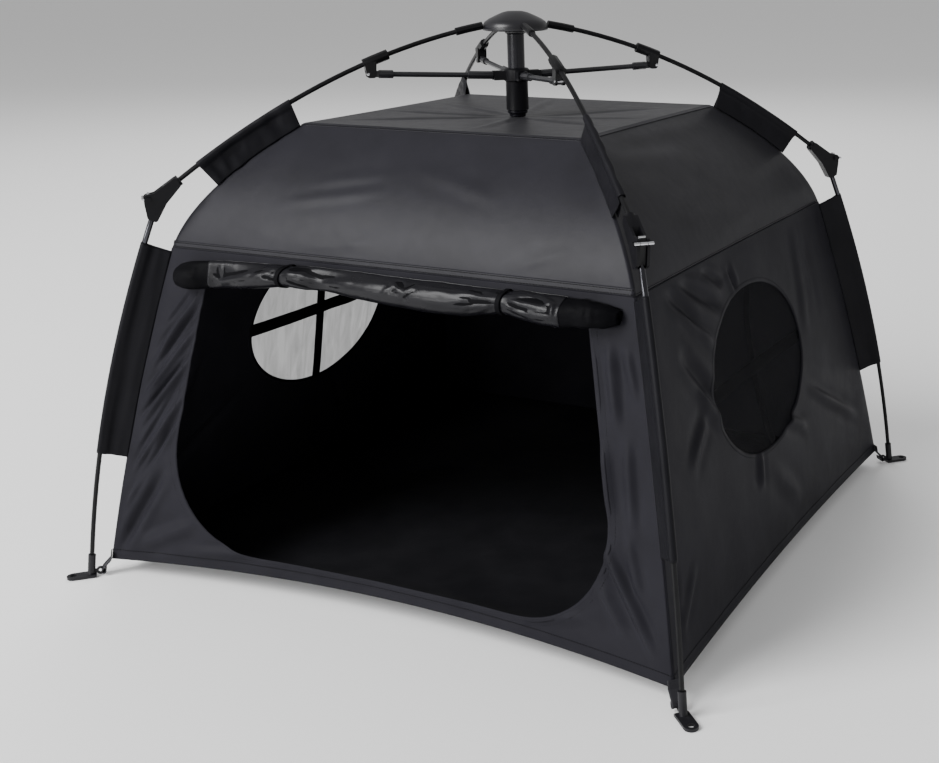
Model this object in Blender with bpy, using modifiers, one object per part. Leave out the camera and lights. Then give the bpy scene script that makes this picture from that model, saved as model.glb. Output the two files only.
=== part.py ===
# A pop-up tent for a pet: a sprung frame of four ribs and four legs, with a fabric cabin
# hung inside it. Metres, +Z up. The origin is on the ground under the middle of the
# cabin, and the doorway faces -Y.
#
# Pieces that repeat at the four corners are modelled once in the upright plane through
# one corner, with X running outwards from the middle, and turned about Z to each corner.

from math import cos, pi, radians, sin, sqrt, tan

import bmesh
import bpy
from mathutils import Matrix, Vector

# Clearance kept between pieces that touch
GAP = 0.0003

# Cabin: half sides of its square sections and their heights
ROOF_HALF = 0.1763
ROOF_Z = 0.5169
ROOF_SAG = 0.004
SHOULDER_HALF = 0.2877
SHOULDER_Z = 0.3843
BASE_HALF = 0.3616
BASE_Z = 0.0187
SLOPE_BULGE = 0.0176
WALL_BULGE = 0.0041
SHEET = 0.002

# Hem: how far the middle of a side is drawn in and lifted
FRONT_HEM_DRAWN = 0.032
FRONT_HEM_LIFT = 0.008
SIDE_HEM_DRAWN = 0.007
SIDE_HEM_LIFT = 0.003
SEAM_DRAWN = 0.002

# Floor: the part of it that lies flat, and its distance from the walls
FLOOR_FLAT = 0.72
FLOOR_INSET = 0.0034

# Doorway in the front wall
DOOR_TOP_Z = 0.366
DOOR_TOP_HALF = 0.2360
DOOR_MIDDLE = 0.0025
DOOR_SILL_Z = 0.044
DOOR_FLARE = 0.195
DOOR_CORNER = 0.113
DOOR_TOP_CORNER = 0.020

# Oval windows in the side walls
WINDOW_Z = 0.2415
WINDOW_HALF_WIDTH = 0.141
WINDOW_HALF_HEIGHT = 0.0945
WINDOW_NET = 0.0008

# Rolled door under the shoulder seam: X, the height of its middle and its radius, drawn in
# where its two ties hold it
ROLL = (
    (-0.266, 0.3580, 0.0145), (-0.258, 0.3583, 0.0166), (-0.241, 0.3592, 0.0170),
    (-0.221, 0.3614, 0.0164), (-0.192, 0.3634, 0.0154), (-0.167, 0.3651, 0.0142),
    (-0.145, 0.3664, 0.0126), (-0.132, 0.3675, 0.0116), (-0.119, 0.3686, 0.0110),
    (-0.106, 0.3690, 0.0118), (-0.080, 0.3694, 0.0122), (-0.041, 0.3682, 0.0132),
    (-0.005, 0.3666, 0.0142), (0.036, 0.3653, 0.0148), (0.070, 0.3650, 0.0160),
    (0.105, 0.3650, 0.0150), (0.130, 0.3664, 0.0128), (0.150, 0.3678, 0.0116),
    (0.166, 0.3674, 0.0134), (0.190, 0.3656, 0.0146), (0.222, 0.3644, 0.0162),
    (0.240, 0.3650, 0.0146), (0.262, 0.3653, 0.0124), (0.281, 0.3653, 0.0100),
)

# Hub cap, mast and slider on the upright axis
CAP_RADIUS = 0.0385
CAP_TOP_Z = 0.6354
CAP_RIM_Z = 0.6134
CORE_RADIUS = 0.0125
CORE_BOTTOM_Z = 0.6095
MAST_RADIUS = 0.0102
PLUG_RADIUS = 0.0098
SLIDER_RADIUS = 0.0132
SLIDER_TOP_Z = 0.5700
SLIDER_BOTTOM_Z = 0.5215
COLLAR_RADIUS = 0.0150
COLLAR_Z = 0.5620
COLLAR_HEIGHT = 0.0125
LUG_REACH = 0.0285
LUG_HEIGHT = 0.0105
LUG_WIDTH = 0.0115
LUG_SLOT = 0.0062

# Ribs: a sprung rod whose drop from the hub grows with the distance
ROD_RADIUS = 0.0027
RIB_START = CAP_RADIUS + 0.0011
RIB_END = 0.3915
RIB_BEND_START = 0.036
RIB_BEND_Z = 0.6200
RIB_SLOPE = 0.170
RIB_BEND = 0.785
RIB_FERRULE_RADIUS = 0.0044
RIB_FERRULE_END = 0.062
RIB_RINGS = 22

# Bracket that ties a strut to its rib
BRACKET_R = 0.1718
BRACKET_CLAMP = (0.146, 0.180)
BRACKET_RADIUS = 0.0058
BRACKET_DROP = 0.0139
BRACKET_WIDTH = 0.0115

# Struts
STRUT_RADIUS = 0.0030
STRUT_FERRULE_RADIUS = 0.0046
STRUT_FERRULE = 0.030
STRUT_TONGUE = 0.0056
STRUT_TONGUE_HEIGHT = 0.0070

# Elbows: the pin, its fork and the socket on the rib
PIN_R = 0.4262
PIN_Z = 0.4413
ELBOW_WIDTH = 0.0132
FORK_SLOT = 0.0078
AXLE_RADIUS = 0.0021
AXLE_LENGTH = 0.0196
SOCKET_RADIUS = 0.0062
SOCKET_LENGTH = 0.030
EYE_RADIUS = 0.0050
EYE_WIDTH = 0.0066
ARM_WIDTH = 0.0062
EYE_PLAY = 0.0004

# Legs: a sprung rod that leans out less and less towards the ground
LEG_TOP_R = 0.4262
LEG_TOP_Z = 0.4164
LEG_LEAN = 0.4070
LEG_BEND = 0.3413
LEG_FERRULE = 0.052
LEG_FERRULE_RADIUS = 0.0030
LEG_RINGS = 18

# Feet
FOOT_TOP_Z = 0.0271
FOOT_RADIUS = 0.0043
PADDLE_LENGTH = 0.027
PADDLE_WIDTH = 0.0150
PADDLE_THICKNESS = 0.0032
PADDLE_HOLE = 0.0038
RING_RADIUS = 0.0035
RING_WIRE = 0.0013
RING_Z = 0.0058
RING_REACH = 0.0100

# Sleeve flaps that join the cabin's corners to the rods
FLAP = 0.0022
UPPER_FLAP_ON_ROD = (0.2647, 0.3704)
UPPER_FLAP_ON_SEAM = (0.5135, 0.4517)
LOWER_FLAP_ON_ROD = (0.3918, 0.1513)
LOWER_FLAP_ON_SEAM = (0.3800, 0.1424)
STRAP_THICKNESS = 0.0020
STRAP_WIDTH = 0.0130
STRAP_CLEAR = 0.0018
STRAP_OVERLAP = 0.0088

DIAGONAL = sqrt(2)
CORNERS = {
    "front_right": radians(-45),
    "back_right": radians(45),
    "back_left": radians(135),
    "front_left": radians(-135),
}
SIDES = {
    "front": 0.0,
    "right": radians(90),
    "back": radians(180),
    "left": radians(-90),
}


# Scene and materials

def clear_scene():
    for thing in list(bpy.data.objects):
        bpy.data.objects.remove(thing, do_unlink=True)


def make_collection(name):
    collection = bpy.data.collections.new(name)
    bpy.context.scene.collection.children.link(collection)
    return collection


def make_material(name, colour, roughness, metallic=0.0):
    material = bpy.data.materials.new(name)
    material.use_nodes = True
    shader = material.node_tree.nodes["Principled BSDF"]
    shader.inputs["Base Color"].default_value = (*colour, 1.0)
    shader.inputs["Roughness"].default_value = roughness
    shader.inputs["Metallic"].default_value = metallic
    return material


clear_scene()
PARTS = make_collection("pet_tent")
CUTTERS = make_collection("cutters")
GREY_CLOTH = make_material("grey_cloth", (0.075, 0.073, 0.082), 0.85)
BLACK_CLOTH = make_material("black_cloth", (0.018, 0.018, 0.020), 0.80)
ROOF_CLOTH = make_material("roof_cloth", (0.085, 0.084, 0.090), 0.85)
FLOOR_CLOTH = make_material("floor_cloth", (0.030, 0.030, 0.033), 0.75)
DOOR_CLOTH = make_material("door_cloth", (0.055, 0.055, 0.060), 0.45)
NET = make_material("net", (0.10, 0.10, 0.105), 0.80)
HARD_PLASTIC = make_material("hard_plastic", (0.020, 0.020, 0.024), 0.42)
FIBREGLASS = make_material("fibreglass", (0.015, 0.015, 0.016), 0.35)
TUBE_METAL = make_material("tube_metal", (0.030, 0.029, 0.036), 0.35, 0.4)


# Shape helpers

def add_object(name, data, material=None, collection=PARTS):
    thing = bpy.data.objects.new(name, data)
    collection.objects.link(thing)
    if material is not None:
        data.materials.append(material)
    return thing


def mesh_from(bm, name):
    bmesh.ops.recalc_face_normals(bm, faces=bm.faces[:])
    mesh = bpy.data.meshes.new(name)
    bm.to_mesh(mesh)
    bm.free()
    return mesh


def smooth(thing, angle=radians(35)):
    thing.data.shade_smooth()
    thing.data.set_sharp_from_angle(angle=angle)


def make_cutter(thing):
    thing.hide_render = True
    thing.display_type = "WIRE"
    return thing


def boolean(thing, other, operation):
    modifier = thing.modifiers.new(operation.title(), "BOOLEAN")
    modifier.operation = operation
    modifier.solver = "EXACT"
    modifier.object = other
    return thing


def evaluated_mesh(thing, name):
    """The mesh that an object's modifiers or curve make, with loose caps welded on."""
    bpy.context.view_layer.update()
    seen = thing.evaluated_get(bpy.context.evaluated_depsgraph_get())
    mesh = bpy.data.meshes.new_from_object(seen)
    mesh.name = name
    bm = bmesh.new()
    bm.from_mesh(mesh)
    bmesh.ops.remove_doubles(bm, verts=bm.verts[:], dist=0.000005)
    bmesh.ops.recalc_face_normals(bm, faces=bm.faces[:])
    bm.to_mesh(mesh)
    bm.free()
    return mesh


def rod(name, points, radii, sides=2):
    """A mesh rod through the points, with its own radius at each."""
    curve = bpy.data.curves.new(name, "CURVE")
    curve.dimensions = "3D"
    curve.bevel_depth = 1.0
    curve.bevel_resolution = sides
    curve.use_fill_caps = True
    spline = curve.splines.new("POLY")
    spline.points.add(len(points) - 1)
    for point, place, radius in zip(spline.points, points, radii):
        point.co = (*place, 1.0)
        point.radius = radius
    source = add_object(name, curve, collection=CUTTERS)
    mesh = evaluated_mesh(source, name)
    bpy.data.objects.remove(source, do_unlink=True)
    return mesh


def stepped(points, radius_at):
    """Points and radii of a rod, with two rings 0.2 mm apart where its radius jumps."""
    places, radii = [], []
    for place in points:
        radius = radius_at(place)
        if radii and abs(radius - radii[-1]) > 0.0001:
            ahead = (Vector(places[-1]) - Vector(place)).normalized() * 0.0002
            places.append(Vector(place) + ahead)
            radii.append(radii[-1])
        places.append(Vector(place))
        radii.append(radius)
    return places, radii


def box_mesh(name, low, high):
    bm = bmesh.new()
    bmesh.ops.create_cube(bm, size=1.0)
    size = Vector(high) - Vector(low)
    middle = (Vector(high) + Vector(low)) / 2
    bmesh.ops.scale(bm, vec=size, verts=bm.verts[:])
    bmesh.ops.translate(bm, vec=middle, verts=bm.verts[:])
    return mesh_from(bm, name)


def cylinder_mesh(name, radius, start, end, segments=20):
    start, end = Vector(start), Vector(end)
    along = end - start
    turn = Vector((0, 0, 1)).rotation_difference(along).to_matrix().to_4x4()
    place = Matrix.Translation((start + end) / 2) @ turn
    bm = bmesh.new()
    bmesh.ops.create_cone(
        bm, cap_ends=True, segments=segments, radius1=radius, radius2=radius,
        depth=along.length, matrix=place,
    )
    return mesh_from(bm, name)


def plate_mesh(name, outline, low_y, high_y):
    """An upright plate in the corner plane: an outline of (x, z) made thick along Y."""
    bm = bmesh.new()
    face = bm.faces.new([bm.verts.new((x, low_y, z)) for x, z in outline])
    grown = bmesh.ops.extrude_face_region(bm, geom=[face])
    moved = [item for item in grown["geom"] if isinstance(item, bmesh.types.BMVert)]
    bmesh.ops.translate(bm, vec=(0, high_y - low_y, 0), verts=moved)
    return mesh_from(bm, name)


def turned(name, profile, material, segments=32):
    """A turned shape: the profile's (radius, z) points, listed down its outer side."""
    bm = bmesh.new()
    points = [bm.verts.new((radius, 0, z)) for radius, z in profile]
    for first, second in zip(points, points[1:]):
        bm.edges.new((first, second))
    mesh = bpy.data.meshes.new(name)
    bm.to_mesh(mesh)
    bm.free()
    thing = add_object(name, mesh, material)
    screw = thing.modifiers.new("Screw", "SCREW")
    screw.steps = segments
    screw.render_steps = segments
    screw.use_merge_vertices = True
    screw.merge_threshold = 0.00001
    smooth(thing)
    return thing


def fillet(corners, steps=6):
    """An outline with its corners rounded: each corner is (x, z, radius)."""
    outline = []
    count = len(corners)
    for index, (x, z, radius) in enumerate(corners):
        here = Vector((x, z))
        back = (Vector(corners[index - 1][:2]) - here).normalized()
        ahead = (Vector(corners[(index + 1) % count][:2]) - here).normalized()
        if radius == 0:
            outline.append(tuple(here))
            continue
        half = back.angle(ahead) / 2
        middle = here + (back + ahead).normalized() * (radius / sin(half))
        first = here + back * (radius / tan(half)) - middle
        last = here + ahead * (radius / tan(half)) - middle
        sweep = first.angle_signed(last)
        for step in range(steps + 1):
            turn = -sweep * step / steps
            arm = Vector((
                first.x * cos(turn) - first.y * sin(turn),
                first.x * sin(turn) + first.y * cos(turn),
            ))
            outline.append(tuple(middle + arm))
    return outline


# Cabin surfaces, for the side that faces -Y

def half_between(high, low, bulge, t):
    """Half side of the cabin a share t of the way down from one seam to the next."""
    return high + (low - high) * t + bulge * 4 * t * (1 - t)


def slope_half(t):
    return half_between(ROOF_HALF, SHOULDER_HALF, SLOPE_BULGE, t)


def wall_half(t):
    return half_between(SHOULDER_HALF, BASE_HALF, WALL_BULGE, t)


def slope_point(u, t):
    """A point of the upper slope: u runs from corner to corner, t from roof to seam."""
    half = slope_half(t)
    drawn = SEAM_DRAWN * (1 - u * u)
    z = ROOF_Z + (SHOULDER_Z - ROOF_Z) * t
    return Vector((u * half, -(half - drawn), z))


def wall_point(u, t, hem_drawn, hem_lift):
    half = wall_half(t)
    middle = 1 - u * u
    drawn = (SEAM_DRAWN + (hem_drawn - SEAM_DRAWN) * t) * middle
    z = SHOULDER_Z + (BASE_Z - SHOULDER_Z) * t + hem_lift * t * middle
    return Vector((u * half, -(half - drawn), z))


def grid_mesh(name, point, across, down, u_reach=1.0, t_range=(0.0, 1.0)):
    """A sheet of across by down cells, each of whose points the function places."""
    bm = bmesh.new()
    bmesh.ops.create_grid(bm, x_segments=across, y_segments=down, size=1.0)
    low, high = t_range
    for vert in bm.verts:
        u = vert.co.x * u_reach
        t = low + (high - low) * (1 - vert.co.y) / 2
        vert.co = point(u, t)
    mesh = bpy.data.meshes.new(name)
    bm.to_mesh(mesh)
    bm.free()
    return mesh


def thicken(thing, thickness, offset):
    solidify = thing.modifiers.new("Solidify", "SOLIDIFY")
    solidify.thickness = thickness
    solidify.offset = offset
    solidify.use_even_offset = True
    return thing


def wedge(name, low_z, high_z):
    """The quarter of the cabin's space that one side takes, mitred at the corners."""
    reach = 0.6
    bm = bmesh.new()
    points = [(0, -GAP), (-reach, -GAP - reach), (reach, -GAP - reach)]
    face = bm.faces.new([bm.verts.new((x, y, low_z)) for x, y in points])
    grown = bmesh.ops.extrude_face_region(bm, geom=[face])
    moved = [item for item in grown["geom"] if isinstance(item, bmesh.types.BMVert)]
    bmesh.ops.translate(bm, vec=(0, 0, high_z - low_z), verts=moved)
    return make_cutter(add_object(name, mesh_from(bm, name), collection=CUTTERS))


def trimmed_sheet(name, sheet, cutter, angle, material, thickness=SHEET, offset=-1.0):
    """A thick sheet trimmed to its wedge, turned to its side of the cabin."""
    source = add_object(name + "_sheet", sheet, collection=CUTTERS)
    thicken(source, thickness, offset)
    boolean(source, cutter, "INTERSECT")
    mesh = evaluated_mesh(source, name)
    bpy.data.objects.remove(source, do_unlink=True)
    mesh.transform(Matrix.Rotation(angle, 4, "Z"))
    return add_object(name, mesh, material)


def build_slopes():
    cutter = wedge("slope_wedge", SHOULDER_Z + GAP / 2, ROOF_Z - SHEET - GAP)
    for side, angle in SIDES.items():
        sheet = grid_mesh(side + "_slope", slope_point, 10, 6, 1.03, (0.0, 1.03))
        trimmed_sheet(side + "_slope", sheet, cutter, angle, GREY_CLOTH)


def door_outline():
    """The doorway: jambs that flare down with the wall, and wide rounded sill corners."""
    sill_half = DOOR_TOP_HALF + DOOR_FLARE * (DOOR_TOP_Z - DOOR_SILL_Z)
    return fillet([
        (DOOR_MIDDLE - DOOR_TOP_HALF, DOOR_TOP_Z, DOOR_TOP_CORNER),
        (DOOR_MIDDLE - sill_half, DOOR_SILL_Z, DOOR_CORNER),
        (DOOR_MIDDLE + sill_half, DOOR_SILL_Z, DOOR_CORNER),
        (DOOR_MIDDLE + DOOR_TOP_HALF, DOOR_TOP_Z, DOOR_TOP_CORNER),
    ])


def door_cutter():
    mesh = plate_mesh("door_cutter", door_outline(), -0.50, -0.15)
    return make_cutter(add_object("door_cutter", mesh, collection=CUTTERS))


def oval_cutter(name, half_width, half_height):
    mesh = cylinder_mesh(name, 1.0, (0, -0.50, 0), (0, -0.15, 0), 36)
    mesh.transform(Matrix.Diagonal((half_width, 1.0, half_height, 1.0)))
    mesh.transform(Matrix.Translation((0, 0, WINDOW_Z)))
    return make_cutter(add_object(name, mesh, collection=CUTTERS))


def side_wall_point(u, t):
    return wall_point(u, t, SIDE_HEM_DRAWN, SIDE_HEM_LIFT)


def front_wall_point(u, t):
    return wall_point(u, t, FRONT_HEM_DRAWN, FRONT_HEM_LIFT)


def net_point(u, t):
    """The window net lies in the middle of the wall's thickness."""
    inwards = (SHEET - WINDOW_NET) / 2
    return side_wall_point(u, t) + Vector((0, inwards, 0))


def build_walls():
    cutter = wedge("wall_wedge", BASE_Z - 0.05, SHOULDER_Z - GAP / 2)
    for side, angle in SIDES.items():
        point = front_wall_point if side == "front" else side_wall_point
        sheet = grid_mesh(side + "_wall", point, 14, 6, 1.02, (-0.01, 1.0))
        source = add_object(side + "_wall_sheet", sheet, collection=CUTTERS)
        thicken(source, SHEET, -1.0)
        boolean(source, cutter, "INTERSECT")
        if side == "front":
            boolean(source, door_cutter(), "DIFFERENCE")
        if side in ("left", "right"):
            hole = oval_cutter(side + "_window_cutter", WINDOW_HALF_WIDTH, WINDOW_HALF_HEIGHT)
            boolean(source, hole, "DIFFERENCE")
        mesh = evaluated_mesh(source, side + "_wall")
        bpy.data.objects.remove(source, do_unlink=True)
        mesh.transform(Matrix.Rotation(angle, 4, "Z"))
        add_object(side + "_wall", mesh, GREY_CLOTH)


def build_windows():
    for side in ("left", "right"):
        name = side + "_window_net"
        sheet = grid_mesh(name, net_point, 14, 6, 1.02, (-0.01, 1.0))
        edge = oval_cutter(name + "_edge", WINDOW_HALF_WIDTH - GAP, WINDOW_HALF_HEIGHT - GAP)
        trimmed_sheet(name, sheet, edge, SIDES[side], NET, WINDOW_NET)


def build_roof():
    def roof_point(u, t):
        v = 1 - 2 * t
        sag = ROOF_SAG * (1 - u * u) * (1 - v * v)
        return Vector((u * ROOF_HALF, v * ROOF_HALF, ROOF_Z - sag))

    thing = add_object("roof_panel", grid_mesh("roof_panel", roof_point, 8, 8), ROOF_CLOTH)
    thicken(thing, SHEET, -1.0)


def build_floor():
    """The floor lies flat on the ground and turns up to the hem around its edge."""
    half = BASE_HALF - FLOOR_INSET

    def floor_point(u, t):
        v = 1 - 2 * t
        front = v < 0
        drawn_y = (FRONT_HEM_DRAWN if front else SIDE_HEM_DRAWN) * (1 - u * u)
        lift_y = (FRONT_HEM_LIFT if front else SIDE_HEM_LIFT) * (1 - u * u)
        drawn_x = SIDE_HEM_DRAWN * (1 - v * v)
        lift_x = SIDE_HEM_LIFT * (1 - v * v)
        edge = max(abs(u), abs(v))
        lift = lift_y if abs(v) >= abs(u) else lift_x
        share = max(0.0, (edge - FLOOR_FLAT) / (1 - FLOOR_FLAT))
        rise = (BASE_Z + 0.0010 + lift) * share * share * (3 - 2 * share)
        return Vector((u * (half - drawn_x), v * (half - drawn_y), rise))

    thing = add_object("floor_panel", grid_mesh("floor_panel", floor_point, 16, 16), FLOOR_CLOTH)
    thicken(thing, SHEET, 1.0)


def build_door_roll():
    points = []
    for x, z, radius in ROLL:
        share = (SHOULDER_Z - z) / (SHOULDER_Z - BASE_Z)
        face = front_wall_point(x / wall_half(share), share)
        points.append((x, face.y - radius - 0.0010, z))
    radii = [radius for _, _, radius in ROLL]
    mesh = rod("door_roll", points, radii, 2)
    smooth(add_object("door_roll", mesh, DOOR_CLOTH))


# Frame pieces on the upright axis

def build_hub_cap():
    turned("hub_cap", [
        (0.0, CAP_TOP_Z),
        (0.009, CAP_TOP_Z - 0.0003),
        (0.015, CAP_TOP_Z - 0.0018),
        (0.023, CAP_TOP_Z - 0.0052),
        (0.031, CAP_TOP_Z - 0.0090),
        (0.0358, CAP_TOP_Z - 0.0122),
        (CAP_RADIUS - 0.0005, CAP_TOP_Z - 0.0158),
        (CAP_RADIUS, CAP_RIM_Z + 0.0040),
        (CAP_RADIUS, CAP_RIM_Z + 0.0008),
        (CAP_RADIUS - 0.0008, CAP_RIM_Z),
        (CORE_RADIUS + 0.004, CAP_RIM_Z + 0.0010),
        (CORE_RADIUS, CAP_RIM_Z),
        (CORE_RADIUS, CORE_BOTTOM_Z + 0.001),
        (CORE_RADIUS - 0.001, CORE_BOTTOM_Z),
        (0.0, CORE_BOTTOM_Z),
    ], HARD_PLASTIC)


def build_mast():
    plug_z = ROOF_Z - ROOF_SAG + 2 * GAP
    turned("mast_tube", [
        (0.0, CORE_BOTTOM_Z - GAP),
        (MAST_RADIUS, CORE_BOTTOM_Z - GAP),
        (MAST_RADIUS, SLIDER_BOTTOM_Z - 0.0008),
        (PLUG_RADIUS + 0.0022, SLIDER_BOTTOM_Z - 0.0008),
        (PLUG_RADIUS + 0.0022, SLIDER_BOTTOM_Z - 0.0035),
        (PLUG_RADIUS, SLIDER_BOTTOM_Z - 0.0050),
        (PLUG_RADIUS, plug_z + 0.0006),
        (PLUG_RADIUS - 0.0010, plug_z),
        (0.0, plug_z),
    ], TUBE_METAL)


def build_slider():
    """The sliding tube with its collar and the four forked lugs of the struts."""
    bore = MAST_RADIUS + GAP
    top = COLLAR_Z + COLLAR_HEIGHT / 2
    bottom = COLLAR_Z - COLLAR_HEIGHT / 2
    slider = turned("slider_collar", [
        (bore, SLIDER_TOP_Z),
        (SLIDER_RADIUS, SLIDER_TOP_Z),
        (COLLAR_RADIUS, top),
        (COLLAR_RADIUS, bottom),
        (SLIDER_RADIUS, bottom - 0.0012),
        (SLIDER_RADIUS, SLIDER_BOTTOM_Z),
        (bore, SLIDER_BOTTOM_Z),
        (bore, SLIDER_TOP_Z),
    ], HARD_PLASTIC)
    for corner, angle in CORNERS.items():
        lug = box_mesh(
            "lug_" + corner,
            (SLIDER_RADIUS - 0.001, -LUG_WIDTH / 2, COLLAR_Z - LUG_HEIGHT / 2),
            (LUG_REACH, LUG_WIDTH / 2, COLLAR_Z + LUG_HEIGHT / 2),
        )
        slot = box_mesh(
            "lug_slot_" + corner,
            (COLLAR_RADIUS + 0.0022, -LUG_SLOT / 2, COLLAR_Z - LUG_HEIGHT),
            (LUG_REACH + 0.01, LUG_SLOT / 2, COLLAR_Z + LUG_HEIGHT),
        )
        for mesh, operation in ((lug, "UNION"), (slot, "DIFFERENCE")):
            mesh.transform(Matrix.Rotation(angle, 4, "Z"))
            cutter = make_cutter(add_object(mesh.name, mesh, collection=CUTTERS))
            boolean(slider, cutter, operation)


# Frame pieces at the corners, in the plane of one corner

def rib_z(r):
    reach = r - RIB_BEND_START
    return RIB_BEND_Z - RIB_SLOPE * reach - RIB_BEND * reach * reach


def rib_direction(r):
    slope = -RIB_SLOPE - 2 * RIB_BEND * (r - RIB_BEND_START)
    return Vector((1.0, 0.0, slope)).normalized()


def leg_point(drop):
    """A point on the leg's axis, a height drop below the fork's lower end."""
    return Vector((LEG_TOP_R + LEG_LEAN * drop - LEG_BEND * drop * drop, 0, LEG_TOP_Z - drop))


def leg_direction(drop):
    return Vector((LEG_LEAN - 2 * LEG_BEND * drop, 0, -1)).normalized()


def combine(name, meshes, material, cut_from=1):
    """One mesh from several: those before cut_from are joined, the rest cut away."""
    base = add_object(name + "_base", meshes[0], collection=CUTTERS)
    helpers = []
    for index, mesh in enumerate(meshes[1:], start=1):
        helper = make_cutter(add_object(mesh.name, mesh, collection=CUTTERS))
        boolean(base, helper, "UNION" if index < cut_from else "DIFFERENCE")
        helpers.append(helper)
    result = evaluated_mesh(base, name)
    for thing in [base, *helpers]:
        bpy.data.objects.remove(thing, do_unlink=True)
    result.materials.clear()
    result.materials.append(material)
    return result


def place_at_corners(name, mesh):
    """One object of the mesh at each corner, named for it."""
    mesh.shade_smooth()
    mesh.set_sharp_from_angle(angle=radians(35))
    things = {}
    for corner, angle in CORNERS.items():
        thing = add_object(name + "_" + corner, mesh)
        thing.rotation_euler = (0, 0, angle)
        things[corner] = thing
    return things


def rib_mesh():
    clamp_low, clamp_high = BRACKET_CLAMP

    def radius_at(place):
        if place.x < RIB_FERRULE_END:
            return RIB_FERRULE_RADIUS
        if clamp_low <= place.x < clamp_high:
            return BRACKET_RADIUS
        return ROD_RADIUS

    stations = {RIB_START, RIB_FERRULE_END, clamp_low, clamp_high, RIB_END}
    for ring in range(1, RIB_RINGS):
        stations.add(RIB_START + (RIB_END - RIB_START) * ring / RIB_RINGS)
    path = [Vector((r, 0, rib_z(r))) for r in sorted(stations)]
    points, radii = stepped(path, radius_at)
    shaft = rod("rib_shaft", points, radii)
    axis_z = rib_z(BRACKET_R)
    pin_z = axis_z - BRACKET_DROP
    cheek = plate_mesh("rib_cheek", fillet([
        (BRACKET_R - 0.006, axis_z, 0),
        (BRACKET_R - 0.005, pin_z - 0.0045, 0.003),
        (BRACKET_R + 0.005, pin_z - 0.0045, 0.003),
        (BRACKET_R + 0.008, axis_z, 0),
    ], 3), -BRACKET_WIDTH / 2, BRACKET_WIDTH / 2)
    slot = box_mesh(
        "rib_slot",
        (BRACKET_R - 0.02, -LUG_SLOT / 2, pin_z - 0.010),
        (BRACKET_R + 0.0065, LUG_SLOT / 2, pin_z + STRUT_TONGUE_HEIGHT / 2 + GAP),
    )
    return combine("rib", [shaft, cheek, slot], FIBREGLASS, 2)


def strut_ends():
    inner = Vector((COLLAR_RADIUS + 0.0022 + 2 * GAP, 0, COLLAR_Z))
    outer = Vector((BRACKET_R + 0.0040, 0, rib_z(BRACKET_R) - BRACKET_DROP))
    return inner, outer


def strut_mesh():
    """A rod with a ferrule at each end, flattened to a tongue inside the forks."""
    inner, outer = strut_ends()
    along = (outer - inner).normalized()
    inner_step = inner + along * (LUG_REACH + 0.001 - inner.x)
    outer_step = outer - along * 0.0125
    rod_start = inner_step + along * STRUT_FERRULE
    rod_end = outer_step - along * STRUT_FERRULE * 0.55
    step = along * 0.0002
    points = [inner_step, rod_start, rod_start + step, rod_end - step, rod_end, outer_step]
    radii = [
        STRUT_FERRULE_RADIUS, STRUT_FERRULE_RADIUS, STRUT_RADIUS, STRUT_RADIUS,
        STRUT_FERRULE_RADIUS, STRUT_FERRULE_RADIUS,
    ]
    shaft = rod("strut_shaft", points, radii)
    half = STRUT_TONGUE_HEIGHT / 2
    up = Vector((-along.z, 0, along.x)) * half
    meshes = [shaft]
    for start, end in ((inner, inner_step + along * 0.004), (outer_step - along * 0.004, outer)):
        outline = [start - up, end - up, end + up, start + up]
        outline = [(place.x, place.z) for place in outline]
        meshes.append(plate_mesh("strut_tongue", outline, -STRUT_TONGUE / 2, STRUT_TONGUE / 2))
    return combine("strut", meshes, FIBREGLASS, 3)


def leg_frame():
    """The pin, and the directions along and inwards from the top of the leg."""
    pin = Vector((PIN_R, 0, PIN_Z))
    along = leg_direction(0)
    inwards = Vector((along.z, 0, -along.x))
    return pin, along, inwards


def elbow_mesh():
    """The corner moulding: a socket on the rib, and a fork that holds the leg's pin."""
    pin, along, inwards = leg_frame()
    rib_way = rib_direction(RIB_END)
    socket_start = Vector((RIB_END, 0, rib_z(RIB_END))) + rib_way * GAP
    socket = cylinder_mesh(
        "elbow_socket", SOCKET_RADIUS, socket_start, socket_start + rib_way * SOCKET_LENGTH, 16
    )
    body = plate_mesh("elbow_body", fillet([
        (socket_start.x + 0.0045, socket_start.z + 0.0035, 0.002),
        (PIN_R - 0.0060, PIN_Z + 0.0062, 0.003),
        (PIN_R + 0.0056, PIN_Z + 0.0040, 0.004),
        (PIN_R + 0.0052, PIN_Z - 0.0065, 0.004),
        (LEG_TOP_R + 0.0035, LEG_TOP_Z + 0.0030, 0.002),
        (LEG_TOP_R - 0.0060, LEG_TOP_Z - 0.0020, 0.003),
        (LEG_TOP_R - 0.0185, LEG_TOP_Z + 0.0190, 0.004),
        (socket_start.x - 0.0010, socket_start.z - 0.0060, 0.002),
    ], 3), -ELBOW_WIDTH / 2, ELBOW_WIDTH / 2)
    back = pin + inwards * 0.0145
    slot = plate_mesh("elbow_slot", [
        tuple((back - along * 0.0085).xz),
        tuple((back + along * 0.0600).xz),
        tuple((pin - inwards * 0.0200 + along * 0.0600).xz),
        tuple((pin - inwards * 0.0200 - along * 0.0250).xz),
        tuple((pin + inwards * 0.0060 - along * 0.0250).xz),
    ], -FORK_SLOT / 2, FORK_SLOT / 2)
    axle_end = Vector((0, AXLE_LENGTH / 2, 0))
    axle = cylinder_mesh("elbow_axle", AXLE_RADIUS, pin - axle_end, pin + axle_end, 14)
    joined = combine("elbow_plain", [socket, body, slot], HARD_PLASTIC, 2)
    return combine("elbow", [joined, axle], HARD_PLASTIC, 2)


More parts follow.
